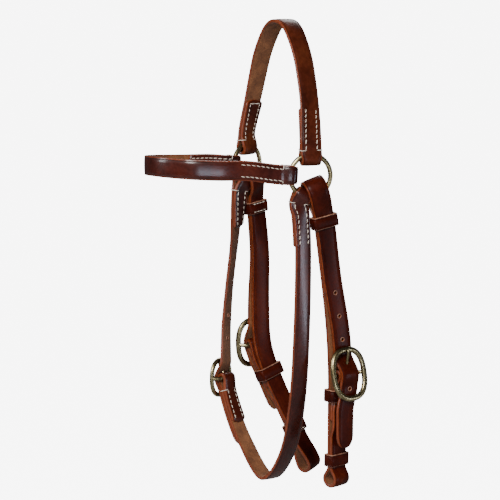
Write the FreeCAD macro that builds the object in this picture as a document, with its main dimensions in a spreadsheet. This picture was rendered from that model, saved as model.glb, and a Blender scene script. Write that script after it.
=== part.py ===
"""Bitless headstall in brown bridle leather with antique-brass fittings, a parametric FreeCAD model.

A crown strap goes over the horse's poll and ends at two rings, one at each side of the head.
From each ring hang a browband end, a throatlash end and a cheekpiece whose bottom fold carries
a hackamore.  Lengths are in millimetres, +Z is up, -Y is the front of the head and +X is its near
(left) side.  The origin is where the underside of the crown strap rests on the poll.
"""

import FreeCAD, Part
import math
import os

from FreeCAD import Matrix, Placement, Vector

os.makedirs("parts", exist_ok=True)
doc = FreeCAD.newDocument("Headstall")

# --- driving dimensions ---------------------------------------------------------------------------

DIMENSIONS = [
    ("strap_width", 22.0, "crown and cheek straps"),
    ("brow_width", 20.0, "browband"),
    ("throat_width", 19.0, "throatlash"),
    ("leather", 3.5, "thickness of one ply"),
    ("ply_gap", 0.2, "space between plies that lie together"),
    ("ring_radius", 21.5, "to the middle of the ring's wire"),
    ("ring_wire", 2.5, "radius of the ring's wire"),
    ("ring_spread", 70.0, "from the middle plane to each ring"),
    ("ring_drop", 153.0, "from the poll down to the ring centres"),
    ("crown_lean", 5.0, "the rings sit this far in front of the poll"),
    ("near_forward", 1.5, "the near ring stands this far in front of the far ring"),
    ("near_twist", 11.0, "turn of the near ring, outer side towards the front, degrees"),
    ("far_twist", 22.0, "the same for the far ring"),
    ("fold_clearance", 0.7, "between a fold and the ring's wire"),
    ("fold_drop", 1.2, "middle of a fold, inside the wire's centre line"),
    ("fold_waist", 0.69, "width of a fold inside the ring, as a share of the strap"),
    ("crown_fold_drop", 4.5, "middle of the crown's looser folds, inside the wire's centre line"),
    ("crown_waist", 0.92, "width of those folds, as a share of the strap"),
    ("sewn_length", 50.0, "turned-back ply, from the ring or bar"),
    ("converge", 15.0, "length over which two plies close up after a fold"),
    ("cheek_fold_radius", 8.8, "inside the loose fold of a cheekpiece over its ring"),
    ("cheek_fold_drop", 6.5, "middle of that fold, inside the wire's centre line"),
    ("cheek_converge", 22.0, "length over which the plies close up after that fold"),
    ("buckle_half_height", 25.25, "cheek buckle, to the middle of its wire"),
    ("buckle_half_width", 18.25, "cheek buckle, to the middle of its wire"),
    ("buckle_wire", 2.75, "radius of the cheek buckle's wire"),
    ("buckle_setback", 6.6, "bar behind the middle of the cheek buckle's frame"),
    ("buckle_tilt", 12.7, "cheek buckle's lean, bottom outwards, degrees"),
    ("throat_half_height", 19.0, "throatlash buckle, to the middle of its wire"),
    ("throat_half_width", 15.8, "throatlash buckle, to the middle of its wire"),
    ("throat_wire", 2.4, "radius of the throatlash buckle's wire"),
    ("throat_setback", 7.2, "bar behind the middle of the throatlash buckle's frame"),
    ("throat_tilt", 12.0, "throatlash buckle's lean, degrees"),
    ("bar_radius", 2.2, "centre bars"),
    ("bar_gap", 0.2, "between a bar and the leather round it"),
    ("prong_radius", 1.5, "prong rods"),
    ("prong_eye", 1.3, "radius of the wire of a prong's eye"),
    ("prong_play", 0.8, "round a prong, in its strap hole"),
    ("eye_slot", 4.4, "slot for the prong's eye in the fold at the bar"),
    ("hole_radius", 2.0, "punched holes"),
    ("hole_pitch", 25.0, "between punched holes"),
    ("keeper_length", 13.0, "along the strap"),
    ("keeper_thickness", 1.8, "leather of the keepers"),
    ("keeper_clearance", 0.7, "round the plies inside a keeper"),
    ("bit_loop_radius", 5.8, "inside the fold that holds the hackamore"),
    ("thread_width", 0.8, "sewing thread"),
    ("thread_inset", 2.8, "from the strap's edge to the thread"),
    ("thread_proud", 0.15, "thread above the leather"),
]

sheet = doc.addObject("Spreadsheet::Sheet", "Dimensions")
for row, (alias, value, note) in enumerate(DIMENSIONS, start=1):
    sheet.set(f"A{row}", alias)
    sheet.set(f"B{row}", str(value))
    sheet.set(f"C{row}", note)
    sheet.setAlias(f"B{row}", alias)
doc.recompute()


def size(alias):
    """A driving dimension, read from the spreadsheet."""
    return float(sheet.get(alias))


PLY = size("leather")
HALF_PLY = PLY / 2
LAY = HALF_PLY + size("ply_gap") / 2  # from the face between two plies to the middle of either
PITCH = 2 * LAY  # from one ply's middle to the next
UP = Vector(0, 0, 1)

# --- where things are -----------------------------------------------------------------------------


def at(x, y, z):
    """A point written from the line through the ring centres (y) and the poll (z)."""
    return Vector(x, y - size("crown_lean"), z)


class RingPlace:
    """One ring: its centre, its rearward direction and its outward normal; side is +1 or -1."""

    def __init__(self, side, twist, forward):
        angle = math.radians(twist)
        self.centre = at(side * size("ring_spread"), -forward, -size("ring_drop"))
        self.rear = Vector(side * math.sin(angle), math.cos(angle), 0)
        self.outward = self.rear.cross(UP) * side

    def radial(self, degrees):
        """Unit direction from the centre; 0 is to the rear, 90 is up and 180 is to the front."""
        angle = math.radians(degrees)
        return self.rear * math.cos(angle) + UP * math.sin(angle)

    def wire(self, degrees):
        return self.centre + self.radial(degrees) * size("ring_radius")


NEAR = RingPlace(1, size("near_twist"), size("near_forward"))
FAR = RingPlace(-1, size("far_twist"), 0)

# Where each strap goes round a ring, in degrees.
CROWN_AT, BROW_AT, THROAT_AT, CHEEK_AT = 90, 176, 246, 290


LONG_LEAD, SHORT_LEAD = 14.0, 9.0  # a strap runs straight out from the wire for this length


def leave(ring, degrees, sign, lead=LONG_LEAD):
    """The first two stations of a run that leaves a ring; sign sets the width direction."""
    across = ring.radial(degrees + 90) * sign
    wire = ring.wire(degrees)
    return [(wire, across), (wire + ring.radial(degrees) * lead, across)]


def arrive(ring, degrees, sign, lead=LONG_LEAD):
    return list(reversed(leave(ring, degrees, sign, lead)))


class Spine:
    """The run of a strap: a smooth curve through a few points, with the strap's width direction."""

    STEPS = 12  # samples between two points

    def __init__(self, stations):
        points = [Vector(p) for p, _ in stations]
        widths = [Vector(w) for _, w in stations]
        knots = [0.0]
        for a, b in zip(points, points[1:]):
            knots.append(knots[-1] + (b - a).Length)
        self.points = self._curve(knots, points)
        self.widths = self._curve(knots, widths)
        self.along = [0.0]
        for a, b in zip(self.points, self.points[1:]):
            self.along.append(self.along[-1] + (b - a).Length)
        self.length = self.along[-1]

    def _curve(self, knots, values):
        """Cubic Hermite curve with slopes from the neighbouring values."""
        last = len(values) - 1
        slopes = []
        for i in range(last + 1):
            a, b = max(i - 1, 0), min(i + 1, last)
            slopes.append((values[b] - values[a]) * (1 / (knots[b] - knots[a])))
        curve = []
        for i in range(last):
            span = knots[i + 1] - knots[i]
            for j in range(self.STEPS):
                k = j / self.STEPS
                a, b = values[i], values[i + 1]
                m, n = slopes[i] * span, slopes[i + 1] * span
                curve.append(
                    a * (2 * k**3 - 3 * k**2 + 1)
                    + m * (k**3 - 2 * k**2 + k)
                    + b * (3 * k**2 - 2 * k**3)
                    + n * (k**3 - k**2)
                )
        return curve + [Vector(values[last])]

    def frame(self, s):
        """Point, direction along, direction across and outward normal at a length from the start."""
        i = 0
        while i < len(self.along) - 2 and self.along[i + 1] < s:
            i += 1
        span = self.along[i + 1] - self.along[i]
        k = (s - self.along[i]) / span
        k_inside = min(max(k, 0.0), 1.0)
        step = self.points[i + 1] - self.points[i]
        point = self.points[i] + step * k
        before = self._direction(i - 1) + self._direction(i)
        after = self._direction(i) + self._direction(i + 1)
        along = (before.normalize() * (1 - k_inside) + after.normalize() * k_inside).normalize()
        width = self.widths[i] * (1 - k_inside) + self.widths[i + 1] * k_inside
        across = (width - along * width.dot(along)).normalize()
        return point, along, across, across.cross(along)

    def _direction(self, i):
        i = min(max(i, 0), len(self.points) - 2)
        return (self.points[i + 1] - self.points[i]).normalize()

    def place(self, s, out, across=0.0):
        """The point at a length s, out from the run and across it."""
        point, _, width, normal = self.frame(s)
        return point + normal * out + width * across


# --- strap routes: (s, out, across) with the direction of travel in the (s, out) plane -------------


def sampled(curve, steps):
    """Stations of a curve(k) -> (s, out, across), k from 0 to 1, with its direction at each."""
    stations = []
    nudge = 1e-4
    for i in range(steps + 1):
        k = i / steps
        here = curve(k)
        a = curve(max(k - nudge, 0.0))
        b = curve(min(k + nudge, 1.0))
        along, out = b[0] - a[0], b[1] - a[1]
        length = math.hypot(along, out)
        stations.append((here, (along / length, out / length)))
    return stations


def ease(k):
    return (1 - math.cos(math.pi * k)) / 2


def run(start, end, steps, shift=None):
    """A stretch from (s, out) to (s, out) that leaves and arrives level; shift(s) moves it across."""
    (s0, out0), (s1, out1) = start, end

    def curve(k):
        s = s0 + (s1 - s0) * k
        return s, out0 + (out1 - out0) * ease(k), shift(s) if shift else 0.0

    return sampled(curve, steps)


def turn(s, out, radius, start, end, steps=8, shift=0.0):
    """An arc about (s, out); angles in degrees, 0 towards +s and 90 outwards."""

    def curve(k):
        angle = math.radians(start + (end - start) * k)
        return s + radius * math.cos(angle), out + radius * math.sin(angle), shift

    return sampled(curve, steps)


def joined(*pieces):
    """Pieces of route end to end, without the doubled stations."""
    route = list(pieces[0])
    for piece in pieces[1:]:
        same = math.dist(route[-1][0][:2], piece[0][0][:2]) < 1e-3
        route += piece[1:] if same else piece
    return route


def reverse(route):
    return [(place, (-d[0], -d[1])) for place, d in reversed(route)]


def ring_fold(wire_s, away, sewn, inner, outer, drop=size("fold_drop")):
    """From the end of the turned-back ply, round the ring's wire, to the outer ply.

    away is +1 where the strap leaves the ring towards +s and -1 where it arrives at the ring.
    """
    radius = size("ring_wire") + size("fold_clearance") + HALF_PLY
    middle = wire_s - away * drop
    close = wire_s + away * size("converge")
    back = run((wire_s + away * sewn, inner), (close, inner), 2)
    opening = run((close, inner), (middle, -radius), 4)
    arc = turn(middle, 0, radius, 270, 90) if away > 0 else turn(middle, 0, radius, -90, 90)
    closing = run((middle, radius), (close, outer), 4)
    return joined(back, opening, arc, closing)


WAIST_FROM, WAIST_TO = 0.5, 4.8  # where a fold narrows, measured into the ring from its wire


def waisted(width, wire_s, away, waist=size("fold_waist")):
    """Width of a strap near a ring: full outside the ring and narrower in the fold's bottom."""

    def width_at(s):
        inside = -(s - wire_s) * away
        k = min(max((inside - WAIST_FROM) / (WAIST_TO - WAIST_FROM), 0.0), 1.0)
        return width * (1 - (1 - waist) * k)

    return width_at


# --- solids along a spine -------------------------------------------------------------------------


def section_wire(spine, station, width, low, high):
    """Rectangle across the route at a station, from low to high through the ply's thickness."""
    (s, out, across), (along, rise) = station
    corners = []
    for depth, side in ((low, -1), (low, 1), (high, 1), (high, -1)):
        corners.append(spine.place(s - rise * depth, out + along * depth, across + side * width / 2))
    return Part.makePolygon(corners + corners[:1])


def strap_solid(spine, route, width_at, thickness=None):
    half = (thickness or PLY) / 2
    wires = [section_wire(spine, st, width_at(st[0][0]), -half, half) for st in route]
    return Part.makeLoft(wires, True, True)


def feature(name, shape):
    """A sub-part whose shape comes from lofts along a spine."""
    part = doc.addObject("Part::Feature", name)
    part.Label = name
    part.Shape = shape
    part.Placement = Placement()
    return part


def frame_placement(origin, x_axis, y_axis):
    z_axis = x_axis.cross(y_axis)
    rows = [(x_axis[i], y_axis[i], z_axis[i], origin[i]) for i in range(3)]
    matrix = Matrix(*rows[0], *rows[1], *rows[2], 0, 0, 0, 1)
    return Placement(matrix)


def rod(start, end, radius):
    return Part.makeCylinder(radius, (end - start).Length, start, end - start)


def thread_rows(spine, s0, s1, low, high, width, shift=None, end_row=None):
    """Two sewn rows along a strap, and one across at end_row, each a thin wall through the plies."""
    inset = size("thread_inset")
    half = size("thread_width") / 2
    middle, thick = (low + high) / 2, (high - low)
    solids = []
    for side in (-1, 1):

        def path(k, side=side):
            s = s0 + (s1 - s0) * k
            return s, middle, side * (width / 2 - inset) + (shift(s) if shift else 0.0)

        route = sampled(path, 4)
        solids.append(strap_solid(spine, route, lambda s: 2 * half, thick))
    if end_row is not None:
        cross = width - 2 * inset - 4 * half
        move = shift(end_row) if shift else 0.0
        route = sampled(lambda k: (end_row - half + 2 * half * k, middle, move), 1)
        solids.append(strap_solid(spine, route, lambda s: cross, thick))
    return Part.makeCompound(solids)


# --- rings ----------------------------------------------------------------------------------------

for name, ring in (("ring_near", NEAR), ("ring_far", FAR)):
    torus = doc.addObject("Part::Torus", name)
    torus.Label = name
    torus.setExpression("Radius1", "Dimensions.ring_radius")
    torus.setExpression("Radius2", "Dimensions.ring_wire")
    torus.Placement = frame_placement(ring.centre, ring.rear, UP)

# --- crown strap ----------------------------------------------------------------------------------

LOW, HIGH = -LAY, LAY  # a turned-back ply and the ply that carries on
SEWN = size("sewn_length")
WIDE = size("strap_width")


def rear_width(turned):
    """Width direction, to the rear, of a crown leg turned by some degrees."""
    angle = math.radians(turned)
    return Vector(-math.sin(angle), math.cos(angle), 0)


# Each half of the crown's arch, from a ring to the poll: across, down and turned.
NEAR_ARCH = [(57, -82, 4), (49.5, -57, 5), (40, -33.5, 4), (24.5, -11.5, 2), (13, -2.6, 1)]
FAR_ARCH = [(60.5, -82, 12), (51.5, -57, 7), (41.5, -33.5, 3), (25.5, -12, 1), (13, -2.6, 0)]


def crown_y(drop):
    """The legs lean forwards from the poll to the rings."""
    return size("crown_lean") * (1 - (-drop / size("ring_drop")) ** 2)


crown_stations = leave(NEAR, CROWN_AT, -1)
for x, z, turned in NEAR_ARCH:
    crown_stations.append((at(x, crown_y(z), z - LAY + HALF_PLY), rear_width(turned)))
crown_stations.append((at(0, size("crown_lean"), -LAY + HALF_PLY), rear_width(0)))
for x, z, turned in reversed(FAR_ARCH):
    crown_stations.append((at(-x, crown_y(z), z - LAY + HALF_PLY), rear_width(turned)))
crown_stations += arrive(FAR, CROWN_AT, -1)
CROWN = Spine(crown_stations)

CROWN_DROP = size("crown_fold_drop")
near_end = ring_fold(0, 1, SEWN, LOW, HIGH, CROWN_DROP)
far_end = reverse(ring_fold(CROWN.length, -1, SEWN, LOW, HIGH, CROWN_DROP))
arch_run = run((size("converge"), HIGH), (CROWN.length - size("converge"), HIGH), 34)
crown_route = joined(near_end, arch_run, far_end)


def two_waists(width, length, waist):
    near, far = waisted(width, 0, 1, waist), waisted(width, length, -1, waist)
    return lambda s: min(near(s), far(s))


crown_width = two_waists(WIDE, CROWN.length, size("crown_waist"))
feature("crown_strap", strap_solid(CROWN, crown_route, crown_width))

THREAD_START = size("converge") - 3
THREAD_END = SEWN - 3
PROUD = size("thread_proud")
THREAD_LOW = -PLY - size("ply_gap") / 2 - PROUD
THREAD_HIGH = PLY + size("ply_gap") / 2 + PROUD
feature(
    "crown_stitching",
    Part.makeCompound(
        [
            thread_rows(CROWN, THREAD_START, THREAD_END, THREAD_LOW, THREAD_HIGH, WIDE, None, THREAD_END),
            thread_rows(
                CROWN,
                CROWN.length - THREAD_START,
                CROWN.length - THREAD_END,
                THREAD_LOW,
                THREAD_HIGH,
                WIDE,
                None,
                CROWN.length - THREAD_END,
            ),
        ]
    ),
)

# --- browband -------------------------------------------------------------------------------------

BROW_WIDE = size("brow_width")

# From the near ring round the front to the far ring: across, forward and above the ring centres.
BROW_BOW = [
    (59, -68, 7.2),
    (52, -99, 8.2),
    (38, -127, 9.8),
    (6, -144, 10.7),
    (-38, -132, 8),
    (-57, -109, 6),
    (-62, -76, 4.5),
    (-61, -50, 4),
]
brow_stations = leave(NEAR, BROW_AT, -1)
for x, y, lift in BROW_BOW:
    brow_stations.append((at(x, y, lift - size("ring_drop")), UP))
brow_stations += arrive(FAR, BROW_AT, -1)
BROW = Spine(brow_stations)

near_end = ring_fold(0, 1, SEWN, LOW, HIGH)
far_end = reverse(ring_fold(BROW.length, -1, SEWN, LOW, HIGH))
front_run = run((size("converge"), HIGH), (BROW.length - size("converge"), HIGH), 34)
brow_route = joined(near_end, front_run, far_end)
brow_width = two_waists(BROW_WIDE, BROW.length, size("fold_waist"))
feature("browband_strap", strap_solid(BROW, brow_route, brow_width))
feature(
    "browband_stitching",
    Part.makeCompound(
        [
            thread_rows(BROW, THREAD_START, THREAD_END, THREAD_LOW, THREAD_HIGH, BROW_WIDE, None, THREAD_END),
            thread_rows(
                BROW,
                BROW.length - THREAD_START,
                BROW.length - THREAD_END,
                THREAD_LOW,
                THREAD_HIGH,
                BROW_WIDE,
                None,
                BROW.length - THREAD_END,
            ),
        ]
    ),
)

# --- buckles --------------------------------------------------------------------------------------


def buckle_frame(name, kind, bar_length, placement):
    """An oval wire frame with a centre bar set back from it on two slanted ends."""
    oval = doc.addObject("Part::Ellipse", name + "_oval")
    oval.setExpression("MajorRadius", f"Dimensions.{kind}_half_height")
    oval.setExpression("MinorRadius", f"Dimensions.{kind}_half_width")
    section = doc.addObject("Part::Circle", name + "_section")
    section.setExpression("Radius", f"Dimensions.{kind}_wire")
    section.Placement = Placement(
        Vector(size(f"{kind}_half_height"), 0, 0), FreeCAD.Rotation(Vector(1, 0, 0), 90)
    )
    wire = doc.addObject("Part::Sweep", name + "_wire")
    wire.Sections = [section]
    wire.Spine = (oval, ["Edge1"])
    wire.Solid = True
    pieces = [wire]
    straight = doc.addObject("Part::Cylinder", name + "_bar")
    straight.setExpression("Radius", "Dimensions.bar_radius")
    straight.Height = 2 * bar_length
    straight.Placement = Placement(
        Vector(0, bar_length, -size(f"{kind}_setback")), FreeCAD.Rotation(Vector(1, 0, 0), 90)
    )
    pieces.append(straight)
    for side in (-1, 1):
        corner = Vector(0, side * bar_length, -size(f"{kind}_setback"))
        end = Vector(0, side * size(f"{kind}_half_width"), 0)
        knuckle = doc.addObject("Part::Sphere", name + "_knuckle")
        knuckle.setExpression("Radius", "Dimensions.bar_radius")
        knuckle.Placement = Placement(corner, FreeCAD.Rotation())
        slant = doc.addObject("Part::Cylinder", name + "_slant")
        slant.setExpression("Radius", "Dimensions.bar_radius")
        slant.Height = (end - corner).Length
        slant.Placement = Placement(corner, FreeCAD.Rotation(UP, end - corner))
        pieces += [knuckle, slant]
    frame = doc.addObject("Part::MultiFuse", name)
    frame.Shapes = pieces
    frame.Label = name
    frame.Placement = placement
    return frame


def prong(name, length, placement):
    """A rod from an eye round the bar, with a round tip; local x points along the rod."""
    ring_radius = size("bar_radius") + size("prong_eye") + 0.4
    eye = doc.addObject("Part::Torus", name + "_eye")
    eye.Radius1 = ring_radius
    eye.setExpression("Radius2", "Dimensions.prong_eye")
    eye.Placement = Placement(Vector(), FreeCAD.Rotation(Vector(1, 0, 0), 90))
    shank = doc.addObject("Part::Cylinder", name + "_shank")
    shank.setExpression("Radius", "Dimensions.prong_radius")
    shank.Height = length - ring_radius
    shank.Placement = Placement(
        Vector(ring_radius, 0, 0), FreeCAD.Rotation(UP, Vector(1, 0, 0))
    )
    tip = doc.addObject("Part::Sphere", name + "_tip")
    tip.setExpression("Radius", "Dimensions.prong_radius")
    tip.Placement = Placement(Vector(length, 0, 0), FreeCAD.Rotation())
    whole = doc.addObject("Part::MultiFuse", name)
    whole.Shapes = [eye, shank, tip]
    whole.Label = name
    whole.Placement = placement
    return whole


BAR_FOLD = size("bar_radius") + size("bar_gap") + HALF_PLY  # radius of the ply's middle at a bar
SLOT_REACH = BAR_FOLD + HALF_PLY + 0.12  # just past the leather round the bar
PRONG_REST = 0.35  # between a prong and the frame it rests on


class BuckleSeat:
    """A buckle on a spine: its bar, the frame's lean and the prong's line.

    toward_tip is -1 where the frame's top and the prong's tip are towards -s.
    """

    def __init__(self, spine, s, bar_out, kind, across, toward_tip):
        self.s, self.bar_out, self.across, self.toward_tip = s, bar_out, across, toward_tip
        self.spine, self.kind = spine, kind
        _, along, width, normal = spine.frame(s)
        self.up = along * toward_tip  # in the strap's plane, towards the prong's tip
        self.side = width
        self.normal = normal
        self.bar = spine.place(s, bar_out, across)
        lean = math.radians(size(f"{kind}_tilt"))
        self.frame_up = (self.up * math.cos(lean) - normal * math.sin(lean)).normalize()
        self.frame_normal = (normal * math.cos(lean) + self.up * math.sin(lean)).normalize()
        half, back = size(f"{kind}_half_height"), size(f"{kind}_setback")
        self.centre = self.bar + self.frame_normal * back
        # The rod passes just over the wire at the frame's top.
        reach = math.hypot(half, back)
        clear = size(f"{kind}_wire") + size("prong_radius") + PRONG_REST
        angle = math.atan2(back, half) + math.asin(clear / reach)
        self.prong_line = self.frame_up * math.cos(angle) + self.frame_normal * math.sin(angle)
        self.prong_length = reach + 0.6 * size(f"{kind}_wire")

    def frame_placement(self):
        return frame_placement(self.centre, self.frame_up, self.frame_normal.cross(self.frame_up))

    def prong_placement(self):
        x_axis = self.prong_line
        y_axis = self.side if self.frame_normal.dot(x_axis.cross(self.side)) > 0 else -self.side
        return frame_placement(self.bar, x_axis, y_axis)

    def hole(self):
        """Cutter for the prong's passage through the billet."""
        radius = size("prong_radius") + size("prong_play")
        start = self.bar + self.prong_line * (SLOT_REACH - 1.5)
        return rod(start, start + self.prong_line * 18, radius)

    def slot(self):
        """Cutter for the prong's eye in the fold round the bar."""
        half = self.side * (size("eye_slot") / 2)
        return rod(self.bar - half, self.bar + half, SLOT_REACH)


def punched(spine, s, out, across, normal_reach=PLY):
    """Cutter for a round hole through one ply."""
    point, _, _, normal = spine.frame(s)
    middle = spine.place(s, out, across)
    return rod(middle - normal * normal_reach, middle + normal * normal_reach, size("hole_radius"))


# --- throatlash -----------------------------------------------------------------------------------

NARROW = size("throat_width")


def leg_width(turned):
    """Width direction, to the front, of a leg turned by some degrees like the far ring."""
    angle = math.radians(turned)
    return Vector(math.sin(angle), -math.cos(angle), 0)


throat_stations = leave(NEAR, THROAT_AT, -1, SHORT_LEAD) + [
    (at(68, -11.6, -192), leg_width(3)),
    (at(69, -10, -228), leg_width(7)),
    (at(64, -8.5, -312), leg_width(3)),
    (at(51, -6, -388), leg_width(0)),
    (at(28, -5, -448), leg_width(2)),
    (at(-2, -11, -480), leg_width(6)),
    (at(-35, -19, -449), leg_width(14)),
    (at(-58, -25, -408), leg_width(22)),
    (at(-68, -28, -372), leg_width(30)),
    (at(-73.5, -22, -330), leg_width(36)),
    (at(-75, -17, -285), leg_width(42)),
    (at(-72.5, -12, -235), leg_width(40)),
] + arrive(FAR, THROAT_AT, -1, SHORT_LEAD)
THROAT = Spine(throat_stations)

near_end = ring_fold(0, 1, SEWN, LOW, HIGH)
THROAT_BAR = THROAT.length - 214  # the bar, measured along the run from the near ring
bar_end = THROAT_BAR - size("converge")
throat_route = joined(
    near_end,
    run((size("converge"), HIGH), (bar_end, HIGH), 34),
    run((bar_end, HIGH), (THROAT_BAR, BAR_FOLD), 4),
    turn(THROAT_BAR, 0, BAR_FOLD, 90, -90),
    run((THROAT_BAR, -BAR_FOLD), (bar_end, LOW), 4),
    run((bar_end, LOW), (THROAT_BAR - SEWN, LOW), 2),
)
throat_seat = BuckleSeat(THROAT, THROAT_BAR, 0, "throat", 0, 1)
throat_shape = strap_solid(THROAT, throat_route, waisted(NARROW, 0, 1)).cut(throat_seat.slot())
feature("throatlash_strap", throat_shape)

# The billet starts at the far ring and its tail ends below the buckle.
end_s = THROAT.length
over_bar = BAR_FOLD + PITCH + 0.3
billet_route = joined(
    ring_fold(end_s, -1, SEWN, LOW, HIGH),
    run((end_s - size("converge"), HIGH), (THROAT_BAR + 60, HIGH), 8),
    run((THROAT_BAR + 60, HIGH), (THROAT_BAR + 18, -1.2), 4),
    run((THROAT_BAR + 18, -1.2), (THROAT_BAR, over_bar), 8),
    run((THROAT_BAR, over_bar), (THROAT_BAR - 14, HIGH + PITCH), 5),
    run((THROAT_BAR - 14, HIGH + PITCH), (THROAT_BAR - 74, HIGH + PITCH), 5),
)
billet_shape = strap_solid(THROAT, billet_route, waisted(NARROW, end_s, -1)).cut(throat_seat.hole())
for i in (1, 2):
    billet_shape = billet_shape.cut(
        punched(THROAT, THROAT_BAR + 18 + i * size("hole_pitch"), 0, 0, 2.2 * PLY)
    )
    billet_shape = billet_shape.cut(
        punched(THROAT, THROAT_BAR + 10 - i * size("hole_pitch"), HIGH + PITCH, 0)
    )
feature("throatlash_billet", billet_shape)
feature(
    "throatlash_stitching",
    Part.makeCompound(
        [
            thread_rows(THROAT, THREAD_START, THREAD_END, THREAD_LOW, THREAD_HIGH, NARROW, None, THREAD_END),
            thread_rows(
                THROAT,
                end_s - THREAD_START,
                end_s - THREAD_END,
                THREAD_LOW,
                THREAD_HIGH,
                NARROW,
                None,
                end_s - THREAD_END,
            ),
            thread_rows(
                THROAT,
                THROAT_BAR - THREAD_START,
                THROAT_BAR - THREAD_END,
                THREAD_LOW,
                THREAD_HIGH,
                NARROW,
                None,
                THROAT_BAR - THREAD_END,
            ),
        ]
    ),
)
buckle_frame("throatlash_buckle_frame", "throat", 10.9, throat_seat.frame_placement())
prong("throatlash_prong", throat_seat.prong_length, throat_seat.prong_placement())

# --- cheekpieces ----------------------------------------------------------------------------------

CHAPE_OUT = LAY + PITCH  # middle of the chape's front ply
BAR_OUT = BAR_FOLD + LAY + 0.1  # the bar stands clear of the inner ply
OVER_BAR = BAR_OUT + BAR_FOLD + PITCH + 0.1
KEEPER_WALL = size("keeper_thickness")
KEEPER_GAP = size("keeper_clearance")
TAIL_OUT = CHAPE_OUT + HALF_PLY + KEEPER_GAP + KEEPER_WALL + 0.3 + HALF_PLY  # outside the keeper
LOOP_FOLD = size("bit_loop_radius") + HALF_PLY
TAIL_LENGTH = 66.0  # of the billet, below the bar
CHAPE_CLOSE = 13.0  # below the bar the sewn plies lie together from here


def keeper(name, spine, s, low, high, width, across=0.0, slack=0.0):
    """A flat loop round the plies from low to high; s is its middle."""
    outer = doc.addObject("Part::Box", name + "_outer")
    inner = doc.addObject("Part::Box", name + "_inner")
    wall = size("keeper_thickness")
    gap = size("keeper_clearance")
    length = size("keeper_length")
    inside = (width + 2 * gap + slack, high - low + 2 * gap)
    for box, extra, long in ((outer, wall, length), (inner, 0, length + 2)):
        box.Length = inside[0] + 2 * extra
        box.Width = inside[1] + 2 * extra
        box.Height = long
        box.Placement = Placement(
            Vector(-box.Length.Value / 2, -box.Width.Value / 2, -long / 2), FreeCAD.Rotation()
        )
    loop = doc.addObject("Part::Cut", name)
    loop.Base, loop.Tool = outer, inner
    loop.Label = name
    _, _, width_axis, normal = spine.frame(s)
    middle = spine.place(s, (low + high) / 2, across)
    loop.Placement = frame_placement(middle, width_axis, normal)
    return loop


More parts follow.
